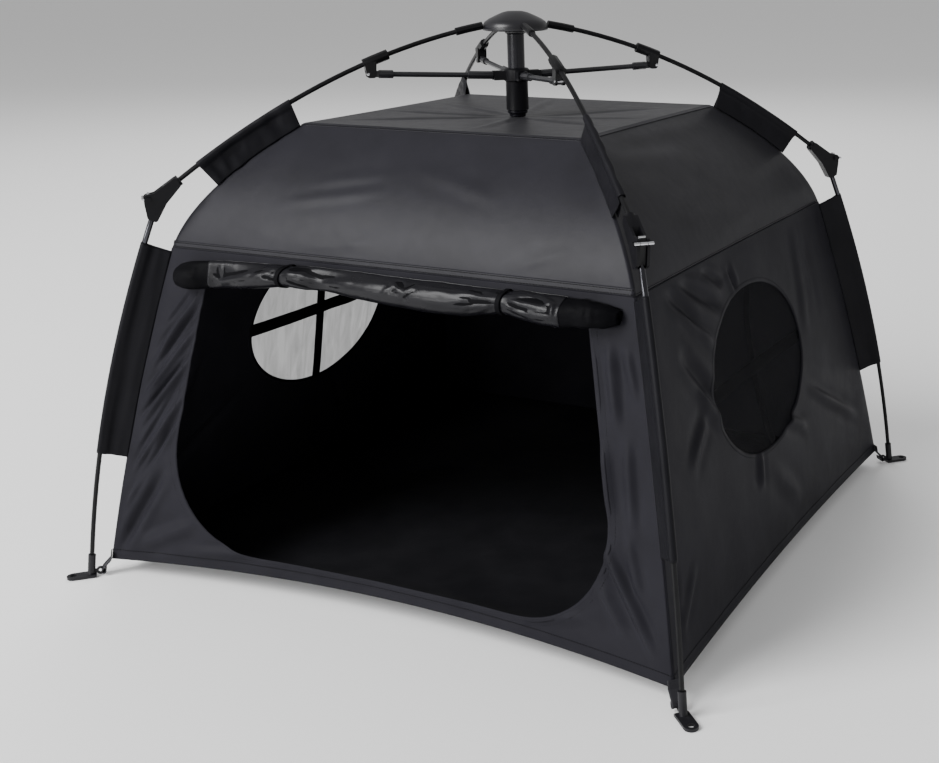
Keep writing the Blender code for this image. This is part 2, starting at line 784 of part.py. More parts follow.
def leg_mesh():
    """The leg: an eye on the pin, an arm, a metal ferrule and the sprung rod."""
    pin, along, inwards = leg_frame()
    drops = [LEG_TOP_Z - FOOT_TOP_Z - GAP]
    drops += [drops[0] * ring / LEG_RINGS for ring in range(LEG_RINGS)]
    lead = 0.0150
    path = [leg_point(0) - along * lead]
    path += [leg_point(drop) for drop in sorted({*drops, LEG_FERRULE})]

    def radius_at(place):
        return LEG_FERRULE_RADIUS if place.z > LEG_TOP_Z - LEG_FERRULE else ROD_RADIUS

    points, radii = stepped(path, radius_at)
    shaft = rod("leg_shaft", points, radii)
    top = leg_point(0) - along * (lead + 0.001)
    low = leg_point(0) - along * 0.0030
    side = inwards * (LEG_FERRULE_RADIUS - 0.0004)
    arm = plate_mesh("leg_arm", [
        tuple((pin - inwards * EYE_RADIUS * 0.9).xz),
        tuple((low - side).xz),
        tuple((low + side).xz),
        tuple((top + side).xz),
        tuple((pin - along * EYE_RADIUS * 0.8).xz),
    ], -ARM_WIDTH / 2, ARM_WIDTH / 2)
    half = Vector((0, EYE_WIDTH / 2, 0))
    eye = cylinder_mesh("leg_eye", EYE_RADIUS, pin - half, pin + half, 20)
    long_half = Vector((0, EYE_WIDTH, 0))
    hole = cylinder_mesh("leg_hole", AXLE_RADIUS + EYE_PLAY, pin - long_half, pin + long_half, 14)
    return combine("leg", [shaft, arm, eye, hole], FIBREGLASS, 3)


def foot_ring():
    """Middle of the ring on the inner side of a foot."""
    drop = LEG_TOP_Z - FOOT_TOP_Z
    axis = leg_point(drop) + leg_direction(drop) * (FOOT_TOP_Z - RING_Z)
    return Vector((axis.x - RING_REACH, 0, RING_Z))


def foot_mesh():
    """The foot: a socket under the leg, a paddle with a peg hole and a ring inside."""
    drop = LEG_TOP_Z - FOOT_TOP_Z
    top = leg_point(drop)
    down = leg_direction(drop)
    low = top + down * (FOOT_TOP_Z + 0.01)
    socket = cylinder_mesh("foot_socket", FOOT_RADIUS, top, low, 16)
    ground_r = (top + down * FOOT_TOP_Z).x
    paddle_end = ground_r + PADDLE_LENGTH
    half = PADDLE_WIDTH / 2
    tip = Vector((paddle_end - half, 0, 0))
    paddle = box_mesh("foot_paddle", (ground_r - 0.006, -half, 0), (tip.x, half, PADDLE_THICKNESS))
    round_end = cylinder_mesh("foot_tip", half, tip, tip + Vector((0, 0, PADDLE_THICKNESS)), 28)
    ring_at = foot_ring()
    arm = box_mesh(
        "foot_arm",
        (ring_at.x + RING_RADIUS, -RING_WIRE, RING_Z - 0.0022),
        (ring_at.x + RING_REACH, RING_WIRE, RING_Z + 0.0022),
    )
    bm = bmesh.new()
    bmesh.ops.create_cone(
        bm, cap_ends=True, segments=16, radius1=RING_RADIUS + RING_WIRE,
        radius2=RING_RADIUS + RING_WIRE, depth=2 * RING_WIRE,
        matrix=Matrix.Translation(ring_at) @ Matrix.Rotation(pi / 2, 4, "X"),
    )
    ring = mesh_from(bm, "foot_ring")
    ring_hole = cylinder_mesh(
        "foot_ring_hole", RING_RADIUS - RING_WIRE,
        ring_at - Vector((0, 0.01, 0)), ring_at + Vector((0, 0.01, 0)), 16,
    )
    peg_hole = cylinder_mesh(
        "foot_hole", PADDLE_HOLE, tip - Vector((0, 0, 0.01)), tip + Vector((0, 0, 0.01)), 16
    )
    ground = box_mesh("foot_ground", (0.3, -0.1, -0.1), (0.8, 0.1, 0))
    return combine(
        "foot", [socket, paddle, round_end, arm, ring, ring_hole, peg_hole, ground], HARD_PLASTIC, 5
    )


def build_corner_frame():
    place_at_corners("rib", rib_mesh())
    place_at_corners("strut", strut_mesh())
    place_at_corners("elbow", elbow_mesh())
    to_pin = Matrix.Translation((-PIN_R, 0, -PIN_Z))
    legs, feet = leg_mesh(), foot_mesh()
    for mesh in (legs, feet):
        mesh.transform(to_pin)
    hinges = {}
    for corner, angle in CORNERS.items():
        hinge = add_object("elbow_hinge_" + corner, None)
        hinge.location = (PIN_R * cos(angle), PIN_R * sin(angle), PIN_Z)
        hinge.rotation_euler = (0, 0, angle)
        hinges[corner] = hinge
    for name, mesh in (("leg", legs), ("foot", feet)):
        for corner, thing in place_at_corners(name, mesh).items():
            thing.parent = hinges[corner]
            thing.rotation_euler = (0, 0, 0)


# Flaps and straps between the cabin's corners and the rods

def seam_r(z):
    """Distance of the cabin's corner seam from the middle at a height."""
    if z >= SHOULDER_Z:
        return DIAGONAL * slope_half((ROOF_Z - z) / (ROOF_Z - SHOULDER_Z))
    return DIAGONAL * wall_half((SHOULDER_Z - z) / (SHOULDER_Z - BASE_Z))


def flap_mesh(name, rod_side, seam_side):
    outline = [(place.x, place.z) for place in [*rod_side, *reversed(seam_side)]]
    return plate_mesh(name, outline, -FLAP / 2, FLAP / 2)


def upper_flap_mesh():
    clear = ROD_RADIUS + 2 * GAP
    rod_side, seam_side = [], []
    for step in range(7):
        share = step / 6
        r = UPPER_FLAP_ON_ROD[0] + (UPPER_FLAP_ON_ROD[1] - UPPER_FLAP_ON_ROD[0]) * share
        way = rib_direction(r)
        under = Vector((way.z, 0, -way.x))
        rod_side.append(Vector((r, 0, rib_z(r))) + under * clear)
        z = UPPER_FLAP_ON_SEAM[0] + (UPPER_FLAP_ON_SEAM[1] - UPPER_FLAP_ON_SEAM[0]) * share
        seam_side.append(Vector((seam_r(z) + 0.0008, 0, z + 0.0006)))
    return flap_mesh("upper_sleeve", rod_side, seam_side)


def lower_flap_mesh():
    clear = LEG_FERRULE_RADIUS + 2 * GAP
    rod_side, seam_side = [], []
    for step in range(7):
        share = step / 6
        z = LOWER_FLAP_ON_ROD[0] + (LOWER_FLAP_ON_ROD[1] - LOWER_FLAP_ON_ROD[0]) * share
        drop = LEG_TOP_Z - z
        way = leg_direction(drop)
        inwards = Vector((way.z, 0, -way.x))
        rod_side.append(leg_point(drop) + inwards * clear)
        z = LOWER_FLAP_ON_SEAM[0] + (LOWER_FLAP_ON_SEAM[1] - LOWER_FLAP_ON_SEAM[0]) * share
        seam_side.append(Vector((seam_r(z) + 0.0008, 0, z)))
    return flap_mesh("lower_sleeve", rod_side, seam_side)


def strap_mesh():
    """The webbing tab that hangs from the cabin's base corner to the ring on the foot."""
    ring_at = foot_ring()
    high = BASE_Z + STRAP_OVERLAP
    middle = [
        Vector((seam_r(high) + STRAP_CLEAR, 0, high)),
        Vector((seam_r(BASE_Z) + STRAP_CLEAR, 0, BASE_Z)),
    ]
    away = (middle[1] - ring_at).normalized()
    middle.append(ring_at + away * (RING_RADIUS + RING_WIRE + 2 * GAP))
    ways = [(middle[1] - middle[0]).normalized(), -away]
    ways.insert(1, (ways[0] + ways[1]).normalized())
    outer, inner = [], []
    for place, way in zip(middle, ways):
        aside = Vector((-way.z, 0, way.x)) * STRAP_THICKNESS / 2
        outer.append(tuple((place + aside).xz))
        inner.append(tuple((place - aside).xz))
    return plate_mesh("corner_strap", outer + inner[::-1], -STRAP_WIDTH / 2, STRAP_WIDTH / 2)


def build_flaps():
    for name, mesh in (
        ("upper_sleeve", upper_flap_mesh()),
        ("lower_sleeve", lower_flap_mesh()),
        ("corner_strap", strap_mesh()),
    ):
        mesh.materials.append(BLACK_CLOTH)
        place_at_corners(name, mesh)


build_hub_cap()
build_mast()
build_slider()
build_corner_frame()
build_flaps()
build_slopes()
build_walls()
build_windows()
build_roof()
build_floor()
build_door_roll()
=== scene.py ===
from math import cos, pi, radians, sin, sqrt

import bmesh
import bpy
import numpy as np
from mathutils import Matrix, Vector, noise


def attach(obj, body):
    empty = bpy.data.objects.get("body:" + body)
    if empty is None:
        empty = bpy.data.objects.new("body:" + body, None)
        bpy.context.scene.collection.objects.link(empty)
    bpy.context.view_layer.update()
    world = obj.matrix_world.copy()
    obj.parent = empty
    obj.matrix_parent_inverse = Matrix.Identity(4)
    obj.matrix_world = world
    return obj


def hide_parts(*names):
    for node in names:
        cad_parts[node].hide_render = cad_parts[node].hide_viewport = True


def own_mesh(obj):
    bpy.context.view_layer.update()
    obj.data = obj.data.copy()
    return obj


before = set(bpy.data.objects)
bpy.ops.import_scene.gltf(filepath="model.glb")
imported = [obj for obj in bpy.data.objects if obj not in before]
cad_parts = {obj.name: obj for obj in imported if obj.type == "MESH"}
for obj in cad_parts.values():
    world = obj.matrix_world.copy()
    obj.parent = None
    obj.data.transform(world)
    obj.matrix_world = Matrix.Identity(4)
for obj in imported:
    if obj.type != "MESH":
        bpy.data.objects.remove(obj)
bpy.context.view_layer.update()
print("frame:", len(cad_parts), "solids")

# short forms for Blender's data


def addObject(name, data):
    thing = bpy.data.objects.new(name, data)
    bpy.context.scene.collection.objects.link(thing)
    return thing


def meshFrom(name, bm):
    mesh = bpy.data.meshes.new(name)
    bm.to_mesh(mesh)
    bm.free()
    return mesh


def newMaterial(name):
    material = bpy.data.materials.new(name)
    material.use_nodes = True
    tree = material.node_tree
    return material, tree, tree.nodes["Principled BSDF"]


# each value goes to the input of that name: another node's output is linked, the rest are set
def setInputs(node, **values):
    for key, value in values.items():
        socket = node.inputs[key.replace("_", " ")]
        if isinstance(value, bpy.types.NodeSocket):
            node.id_data.links.new(value, socket)
        else:
            socket.default_value = value


def addNode(tree, kind, **settings):
    node = tree.nodes.new(kind)
    for key, value in settings.items():
        if key in node.bl_rna.properties:
            setattr(node, key, value)
        else:
            setInputs(node, **{key: value})
    return node


# camera, light and floor

view = {
    "place": (0.8250, -1.4398, 0.7008),
    "azimuth": 24.796,     # degrees round from the front, towards the right
    "tilt": 17.502,        # degrees down
    "roll": -0.212,
    "focal": 52.263,
    "shiftX": -0.1816,
}
studio = {
    "world": 0.44,
    "floorTone": 0.92, "floorGlow": 0.08, "floorReach": 40, "floorDrop": 0.0006,
    "lamps": [            # name, place, aim, width and height, watts
        ("key", (-1.95, -3.30, 3.30), (0.0, -0.2, 0.35), (2.6, 2.6), 312.0),
        ("strip", (-1.50, -3.50, 0.95), (0.0, -0.3, 0.33), (2.0, 0.6), 52.0),
        ("fill", (-1.70, 3.20, 3.30), (0.0, 0.2, 0.30), (2.6, 2.6), 80.0),
    ],
}


def addCamera():
    turn, tilt, roll = (radians(view[key]) for key in ("azimuth", "tilt", "roll"))
    ahead = Vector((-sin(turn) * cos(tilt), cos(turn) * cos(tilt), -sin(tilt)))
    level = Vector((cos(turn), sin(turn), 0))
    up = level.cross(ahead)
    side = level * cos(roll) + up * sin(roll)
    top = up * cos(roll) - level * sin(roll)
    data = bpy.data.cameras.new("camera")
    data.lens, data.sensor_width, data.shift_x = view["focal"], 36, view["shiftX"]
    camera = addObject("camera", data)
    aim = Matrix((side, top, -ahead)).transposed().to_4x4()
    camera.matrix_world = Matrix.Translation(view["place"]) @ aim
    bpy.context.scene.camera = camera


def addStudio():
    world = bpy.data.worlds.new("studio")
    world.use_nodes = True
    setInputs(world.node_tree.nodes["Background"], Color=(1, 1, 1, 1), Strength=studio["world"])
    bpy.context.scene.world = world
    for name, place, aim, size, watts in studio["lamps"]:
        data = bpy.data.lights.new(name, "AREA")
        data.shape, data.energy = "RECTANGLE", watts
        data.size, data.size_y = size
        lamp = addObject(name, data)
        lamp.visible_camera = False
        lamp.visible_glossy = name != "fill"      # or the roof would mirror it
        lamp.location = place
        lamp.rotation_euler = (Vector(aim) - Vector(place)).to_track_quat("-Z", "Y").to_euler()
    bm = bmesh.new()
    low = Matrix.Translation((0, 0, -studio["floorDrop"]))
    bmesh.ops.create_grid(bm, x_segments=1, y_segments=1, size=studio["floorReach"], matrix=low)
    ground = addObject("studio_floor", meshFrom("studio_floor", bm))
    paper, _, shader = newMaterial("pale_floor")
    setInputs(
        shader, Base_Color=(*[studio["floorTone"]] * 3, 1), Roughness=0.9, Specular_IOR_Level=0.1,
        Emission_Color=(1, 1, 1, 1), Emission_Strength=studio["floorGlow"],
    )
    ground.data.materials.append(paper)


addCamera()
addStudio()
print("camera, lamps and floor")

# finishes

clothFinishes = {   # dark tone, light tone, roughness, thread period in m, depth of the weave, gloss, sheen
    "slopeCloth": ((0.0130, 0.0126, 0.0160), (0.0185, 0.0180, 0.0225), 0.36, 0.00075, 0.22, 0.11, 0.02),
    # wallCloth is the slopes' grey cloth with less gloss; its lighter tones are painted light in place of the
    # sheen it lacks
    "wallCloth": ((0.0145, 0.0141, 0.0176), (0.0200, 0.0195, 0.0240), 0.42, 0.00075, 0.22, 0.034, 0.002),
    "roofCloth": ((0.0130, 0.0127, 0.0156), (0.0182, 0.0178, 0.0218), 0.42, 0.00075, 0.22, 0.17, 0.02),
    "blackCloth": ((0.0065, 0.0064, 0.0080), (0.0098, 0.0096, 0.0118), 0.42, 0.00075, 0.25, 0.08, 0.004),
    "floorCloth": ((0.0065, 0.0065, 0.0078), (0.0112, 0.0110, 0.0130), 0.60, 0.00090, 0.35, 0.08, 0.01),
    # doorCloth is darkened below the grey cloth: painted shade for the roll's dark upper band under the seam
    "doorCloth": ((0.0046, 0.0045, 0.0058), (0.0078, 0.0076, 0.0098), 0.29, 0.00060, 0.10, 0.20, 0.0),
    "tapeCloth": ((0.0040, 0.0040, 0.0050), (0.0065, 0.0064, 0.0078), 0.70, 0.00100, 0.35, 0.01, 0.0),
    # netRoll is the black net's own dark tone taken darker still: painted shade matching the shaded right end
    # of the roll
    "netRoll": ((0.0022, 0.0022, 0.0028), (0.0044, 0.0043, 0.0053), 0.60, 0.00120, 0.45, 0.04, 0.0),
    # webbing is lighter than the grey cloth: painted light that lifts the straps out of the shade under each
    # corner
    "webbing": ((0.0180, 0.0176, 0.0210), (0.0290, 0.0284, 0.0330), 0.60, 0.0016, 0.60, 0.15, 0.01),
    "thread": ((0.0032, 0.0032, 0.0038), (0.0060, 0.0060, 0.0070), 0.55, 0.0004, 0.20, 0.10, 0.0),
    "greyThread": ((0.0125, 0.0121, 0.0152), (0.0180, 0.0176, 0.0216), 0.55, 0.0004, 0.20, 0.06, 0.0),
}
hardFinishes = {    # colour, roughness, metallic, grain scale, depth of the grain, gloss
    "capPlastic": ((0.0090, 0.0087, 0.0108), 0.34, 0.0, 900.0, 0.10, 0.42),
    "plastic": ((0.0038, 0.0037, 0.0048), 0.38, 0.0, 900.0, 0.10, 0.17),
    "footPlastic": ((0.0085, 0.0083, 0.0103), 0.42, 0.0, 900.0, 0.12, 0.28),
    "fibreglass": ((0.0030, 0.0030, 0.0036), 0.36, 0.0, 260.0, 0.08, 0.20),
    "strutTube": ((0.0130, 0.0130, 0.0150), 0.34, 0.0, 300.0, 0.08, 0.40),
    "paintedTube": ((0.0060, 0.0057, 0.0085), 0.22, 0.25, 420.0, 0.06, 0.45),
    "darkSteel": ((0.045, 0.045, 0.050), 0.17, 1.0, 600.0, 0.05, 0.50),
    "brightMetal": ((0.56, 0.56, 0.58), 0.22, 1.0, 600.0, 0.05, 0.50),
}

netFinish = {"dark": (0.004, 0.004, 0.005), "light": (0.009, 0.009, 0.011), "period": 0.0014}
waveUnit = 0.314        # metres between the bands of a wave texture at scale 1


def toneRamp(tree, source, dark, light, low=0.3, high=0.7):
    tones = addNode(tree, "ShaderNodeValToRGB", Fac=source)
    for element, position, colour in zip(tones.color_ramp.elements, (low, high), (dark, light)):
        element.position, element.color = position, (*colour, 1)
    return tones.outputs["Color"]


def roughnessAround(tree, source, middle, spread):
    remap = addNode(tree, "ShaderNodeMapRange", Value=source, To_Min=middle - spread, To_Max=middle + spread)
    return remap.outputs["Result"]


# threads both ways on a UV map in metres
def weaveOf(tree, uv, period, **settings):
    weave = addNode(tree, "ShaderNodeMath", operation="MAXIMUM")
    for socket, way in zip(weave.inputs, "XY"):
        wave = addNode(
            tree, "ShaderNodeTexWave", bands_direction=way, Vector=uv, Scale=waveUnit / period, **settings
        )
        tree.links.new(wave.outputs["Fac"], socket)
    return weave.outputs["Value"]


# plain weave on the sheet's own UV map, over soft blotches of the dye and crushed creases
def clothMaterial(name, dark, light, roughness, period, depth, gloss, sheen):
    material, tree, shader = newMaterial(name)
    spots = addNode(tree, "ShaderNodeTexCoord").outputs
    dye = addNode(tree, "ShaderNodeTexNoise", Vector=spots["Object"], Scale=14.0, Detail=5.0, Roughness=0.6)
    crush = addNode(
        tree, "ShaderNodeTexNoise", Vector=spots["Object"], Scale=70.0, Detail=4.0, Roughness=0.55
    )
    creased = addNode(tree, "ShaderNodeBump", Height=crush.outputs["Fac"], Strength=0.35, Distance=0.0006)
    woven = addNode(
        tree, "ShaderNodeBump", Height=weaveOf(tree, spots["UV"], period, Distortion=0.4),
        Normal=creased.outputs["Normal"], Strength=depth, Distance=0.00012,
    )
    setInputs(
        shader, Base_Color=toneRamp(tree, dye.outputs["Fac"], dark, light), Normal=woven.outputs["Normal"],
        Roughness=roughnessAround(tree, crush.outputs["Fac"], roughness, 0.06),
        Specular_IOR_Level=gloss, Sheen_Weight=sheen, Sheen_Roughness=0.45,
    )
    return material


def hardMaterial(name, colour, roughness, metallic, grain, depth, gloss):
    material, tree, shader = newMaterial(name)
    spots = addNode(tree, "ShaderNodeTexCoord").outputs
    wear = addNode(tree, "ShaderNodeTexNoise", Vector=spots["Object"], Scale=38.0, Detail=4.0).outputs["Fac"]
    light = tuple(min(1.0, value * 1.45) for value in colour)
    fine = addNode(tree, "ShaderNodeTexNoise", Vector=spots["Object"], Scale=grain, Detail=3.0)
    bump = addNode(tree, "ShaderNodeBump", Height=fine.outputs["Fac"], Strength=depth, Distance=0.0002)
    setInputs(
        shader, Base_Color=toneRamp(tree, wear, colour, light, 0.35, 0.75), Normal=bump.outputs["Normal"],
        Roughness=roughnessAround(tree, wear, roughness, 0.08), Metallic=metallic, Specular_IOR_Level=gloss,
    )
    return material


# insect netting: its threads on the UV map, and a third of the light passing between them, more
# or less of it along the drape's soft creases
def netMaterial(name):
    material, tree, shader = newMaterial(name)
    spots = addNode(tree, "ShaderNodeTexCoord").outputs
    threads = weaveOf(tree, spots["UV"], netFinish["period"])
    bump = addNode(tree, "ShaderNodeBump", Height=threads, Strength=0.5, Distance=0.0003)
    drape = addNode(
        tree, "ShaderNodeMapping", Vector=spots["UV"], Rotation=(0, 0, radians(58)), Scale=(60.0, 14.0, 1.0)
    )
    creases = addNode(
        tree, "ShaderNodeTexNoise", Vector=drape.outputs["Vector"], Scale=1.0, Detail=3.0, Distortion=1.2
    )
    density = addNode(
        tree, "ShaderNodeMapRange", Value=creases.outputs["Fac"],
        From_Min=0.35, From_Max=0.68, To_Min=0.64, To_Max=0.74,
    )
    setInputs(
        shader, Base_Color=toneRamp(tree, threads, netFinish["dark"], netFinish["light"]), Roughness=0.7,
        Specular_IOR_Level=0.05, Normal=bump.outputs["Normal"], Alpha=density.outputs["Result"],
    )
    return material


finish = {name: clothMaterial(name, *values) for name, values in clothFinishes.items()}
finish.update({name: hardMaterial(name, *values) for name, values in hardFinishes.items()})
finish["insectNet"] = netMaterial("insectNet")
print("finishes:", len(finish))

# pieces and meshes

corners = {"front_right": -45, "back_right": 45, "back_left": 135, "front_left": -135}
stitch = {"gap": 0.0036, "length": 0.0025, "width": 0.00060, "lift": 0.0001}
trims = {}        # bindings, tapes and stitches sewn to each sheet


# a finished piece: its mesh in place, riding on a body, and given its own copy of the mesh when gathers is
# set
def addPiece(name, mesh, material, body="root", angle=None, gathers=False):
    piece = addObject(name, mesh)
    mesh.materials.append(finish[material])
    mesh.shade_smooth()
    if angle is not None:
        mesh.set_sharp_from_angle(angle=radians(angle))
    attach(piece, body)
    if gathers:
        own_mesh(piece)
    return piece


def thicken(piece, thickness, offset=-1.0):
    solid = piece.modifiers.new("thickness", "SOLIDIFY")
    solid.thickness, solid.offset = thickness, offset


# a sheet of cloth in place of the solid node
def addCloth(name, mesh, material, node, gathers=True):
    piece = addPiece(name, mesh, material, gathers=gathers)
    thicken(piece, cabin["clothThickness"])
    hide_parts(node)


# a binding, tape or hem sewn to the owner, along a path of (points, normals)
def addTrim(
    owner, name, path, width, crown=0.0, closed=False,
    material="wallCloth", thickness=0.0004, gathers=True,
):
    mesh = stripMesh(name, *path, width, crown, closed)
    piece = addPiece(name, mesh, material, gathers=gathers)
    thicken(piece, thickness, 1.0)
    trims.setdefault(owner, []).append(piece)


# 0 below low, 1 above high and smooth between, for arrays
def ramp(value, low, high):
    share = np.clip((value - low) / (high - low), 0, 1)
    return share * share * (3 - 2 * share)


# smooth noise from -1 to 1 at each point
def rough(points, scale, seed):
    shift = Vector((seed, seed * 0.37, -seed))
    return np.array([noise.noise(Vector(point) * scale + shift) for point in points])


# each row of vectors made one long
def unit(vectors):
    return vectors / np.linalg.norm(vectors, axis=1)[:, None]


# distance run along a path at each of its points
def runAlong(path):
    return np.concatenate([[0], np.cumsum(np.linalg.norm(np.diff(path, axis=0), axis=1))])


# a path's columns at other distances along it
def pointsAt(at, run, path):
    return np.stack([np.interp(at, run, column) for column in path.T], axis=1)


# a grid of cloth: place(a, b) gives its points for a and b from 0 to 1, and flatSpot their
# places on the flat cloth, in metres, for the UV map
def sheetMesh(name, across, down, place, flatSpot, closed=False):
    bm = bmesh.new()
    bmesh.ops.create_grid(bm, x_segments=across, y_segments=down, size=1.0)
    bm.verts.ensure_lookup_table()
    spots = np.array([vert.co[:2] for vert in bm.verts]) / 2 + 0.5
    points = place(spots[:, 0], spots[:, 1])
    flat = flatSpot(spots[:, 0], spots[:, 1])
    layer = bm.loops.layers.uv.new("flat")
    for vert, point in zip(bm.verts, points):
        vert.co = point
    for face in bm.faces:
        for loop in face.loops:
            loop[layer].uv = flat[loop.vert.index]
    if closed:
        bmesh.ops.remove_doubles(bm, verts=bm.verts[:], dist=0.00001)
    return meshFrom(name, bm)


# a flat tape along a path that lies on a surface with these normals
def stripMesh(name, path, normals, width, crown=0.0, closed=False, columns=4):
    if closed:
        along = np.roll(path, -1, axis=0) - np.roll(path, 1, axis=0)
        path, normals, along = (np.vstack([rows, rows[:1]]) for rows in (path, normals, along))
    else:
        along = np.gradient(path, axis=0)
    across = unit(np.cross(unit(along), normals))
    last = len(path) - 1
    run = runAlong(path)

    def place(a, b):
        index = np.rint(a * last).astype(int)
        v = 2 * b - 1
        height = crown * (1 - v * v)
        return path[index] + across[index] * (v * width / 2)[:, None] + normals[index] * height[:, None]

    def flatSpot(a, b):
        return np.stack([np.interp(a * last, range(last + 1), run), b * width], axis=1)

    return sheetMesh(name, last, columns, place, flatSpot, closed)


# lock stitches along rows of (path, normals): one small block a stitch
def stitchMesh(rows):
    bm = bmesh.new()
    size = Matrix.Diagonal((stitch["length"], stitch["width"], stitch["width"], 1))
    for path, normals in rows:
        run = runAlong(path)
        at = np.arange(stitch["gap"] / 2, run[-1], stitch["gap"])
        spots = pointsAt(at, run, path)
        for spot, way, share in zip(spots, np.gradient(spots, axis=0), at / run[-1]):
            normal = Vector(normals[int(share * (len(normals) - 1))])
            way = Vector(way).normalized()
            side = way.cross(normal).normalized()
            turn = Matrix((way, side, way.cross(side))).transposed().to_4x4()
            place = Matrix.Translation(Vector(spot) + normal * stitch["lift"]) @ turn
            bmesh.ops.create_cube(bm, size=1.0, matrix=place @ size)
    return meshFrom("stitches", bm)


# a mesh made in the upright plane of one corner, turned to that corner
def turnMesh(mesh, corner):
    mesh.transform(Matrix.Rotation(radians(corners[corner]), 4, "Z"))
    return mesh


# points turned round the upright axis
def turnAll(points, angle):
    c, s = cos(radians(angle)), sin(radians(angle))
    x, y, z = points.T
    return np.stack([x * c - y * s, x * s + y * c, z], axis=1)


# cabin surfaces, in the frame of the side that faces -Y: u runs from -1 to 1 across, t from 0 down to 1

cabin = {
    "roofHalf": 0.1763, "roofZ": 0.5169, "roofSag": 0.004,
    "shoulderHalf": 0.2877, "shoulderZ": 0.3843,
    "baseHalf": 0.3616, "baseZ": 0.0187,
    "slopeBulge": 0.0176, "wallBulge": 0.0041,
    "seamDrawn": 0.002,
    "frontHem": (0.032, 0.008), "sideHem": (0.007, 0.003),     # drawn in and lifted at the middle
    "clothThickness": 0.0007,
}
crease = {"overrun": 0.12, "taper": 0.30, "trough": 0.45, "troughAt": 1.7}
slackness = {"finer": 2.7, "share": 0.45}     # a second, finer wave in each slack cloth


def slopeHalf(t):
    high, low = cabin["roofHalf"], cabin["shoulderHalf"]
    return high + (low - high) * t + cabin["slopeBulge"] * 4 * t * (1 - t)


def wallHalf(t):
    high, low = cabin["shoulderHalf"], cabin["baseHalf"]
    return high + (low - high) * t + cabin["wallBulge"] * 4 * t * (1 - t)


def slopeSpot(u, t):
    half = slopeHalf(t)
    z = cabin["roofZ"] + (cabin["shoulderZ"] - cabin["roofZ"]) * t
    return np.stack([u * half, -(half - cabin["seamDrawn"] * (1 - u * u)), z], axis=1)


def wallSpot(hem):
    drawn, lift = hem

    def place(u, t):
        half = wallHalf(t)
        middle = 1 - u * u
        y = -(half - (cabin["seamDrawn"] + (drawn - cabin["seamDrawn"]) * t) * middle)
        z = cabin["shoulderZ"] + (cabin["baseZ"] - cabin["shoulderZ"]) * t + lift * t * middle
        return np.stack([u * half, y, z], axis=1)

    return place


def roofSpot(u, t):
    v, half, drawn = 1 - 2 * t, cabin["roofHalf"], cabin["seamDrawn"]
    x, y = u * (half - drawn * (1 - v * v)), v * (half - drawn * (1 - u * u))
    return np.stack([x, y, cabin["roofZ"] - cabin["roofSag"] * (1 - u * u) * (1 - v * v)], axis=1)


def normalsOf(spot, u, t, step=0.002):
    along = spot(u + step, t) - spot(u - step, t)
    down = spot(u, t + step) - spot(u, t - step)
    return unit(np.cross(along, -down))


# height of the creases over the plain surface: each is a line in mm from (x, z) to (x, z),
# its width and its height, with a shallower trough along both sides
def foldHeight(x, z, folds):
    height = np.zeros(len(x))
    over, taper = crease["overrun"], crease["taper"]
    for x0, z0, x1, z1, width, rise in folds:
        start, way = np.array((x0, z0)) / 1000, np.array((x1 - x0, z1 - z0)) / 1000
        long = np.linalg.norm(way)
        way = way / long
        along = ((x - start[0]) * way[0] + (z - start[1]) * way[1]) / long
        off = np.abs((z - start[1]) * way[0] - (x - start[0]) * way[1]) / (width / 1000)
        ends = ramp(along, -over, taper) * (1 - ramp(along, 1 - taper, 1 + over))
        trough = crease["trough"] * np.exp(-((off - crease["troughAt"]) ** 2))
        height += rise / 1000 * ends * (np.exp(-off * off) - trough)
    return height


# points and normals of a creased cloth at u across and t down it
def clothSpot(cloth, u, t, lift=0.0):
    base = cloth["spot"](u, t)
    normals = normalsOf(cloth["spot"], u, t)
    x, z = base[:, 0], base[:, cloth.get("flatAxis", 2)]
    height = foldHeight(x, z, cloth["folds"]) * cloth.get("depth", 1.0)
    slack = cloth["slack"] / 1000
    grain = np.stack([x * cloth["stretch"][0], z * cloth["stretch"][1], np.zeros(len(x))], axis=1)
    height += slack * rough(grain, cloth["scale"], cloth["seed"])
    finer = rough(grain, cloth["scale"] * slackness["finer"], cloth["seed"] + 5)
    height += slack * slackness["share"] * finer
    edge = np.minimum(1 - np.abs(u), np.minimum(t, 1 - t) * 1.2)
    height *= ramp(edge, 0.0, cloth["fade"])
    points = base + normals * (height + lift)[:, None]
    return turnAll(points, cloth["turn"]), turnAll(normals, cloth["turn"])


# u and t of the points of a wall at x across and z up, found in small steps
def shareAt(cloth, x, z):
    t = np.full(len(x), 0.5)
    for _ in range(30):
        half = -cloth["spot"](np.ones(len(x)), t)[:, 1]
        u = x / half
        t = t + (cloth["spot"](u, t)[:, 2] - z) / 0.30
    return u, t


def onCloth(cloth, loop, lift=0.0):
    return clothSpot(cloth, *shareAt(cloth, *loop.T), lift)


# points and normals along the top or bottom edge of a wall or slope, that far in from it
def edgePath(cloth, edge, inset, lift, count=150):
    t = np.full(count, inset if edge == "top" else 1 - inset)
    return clothSpot(cloth, np.linspace(-1, 1, count), t, lift)


# a loop of (x, z, cut) corners, each bevelled to a round one
def outline(points, steps):
    bm = bmesh.new()
    verts = [bm.verts.new((x, 0, z)) for x, z, _ in points]
    for index, vert in enumerate(verts):
        bm.edges.new((vert, verts[(index + 1) % len(verts)]))
    for vert, (_, _, cut) in zip(list(verts), points):
        bmesh.ops.bevel(
            bm, geom=[vert], offset=cut, offset_type="OFFSET", segments=steps, profile=0.5,
            affect="VERTICES", material=-1,
        )
    bm.verts.ensure_lookup_table()
    vert = bm.verts[0]
    ordered, edge = [vert], vert.link_edges[0]
    while True:
        vert = edge.other_vert(vert)
        if vert is ordered[0]:
            break
        ordered.append(vert)
        edge = next(e for e in vert.link_edges if e is not edge)
    loop = np.array([vert.co[:] for vert in ordered])[:, (0, 2)]
    bm.free()
    return loop


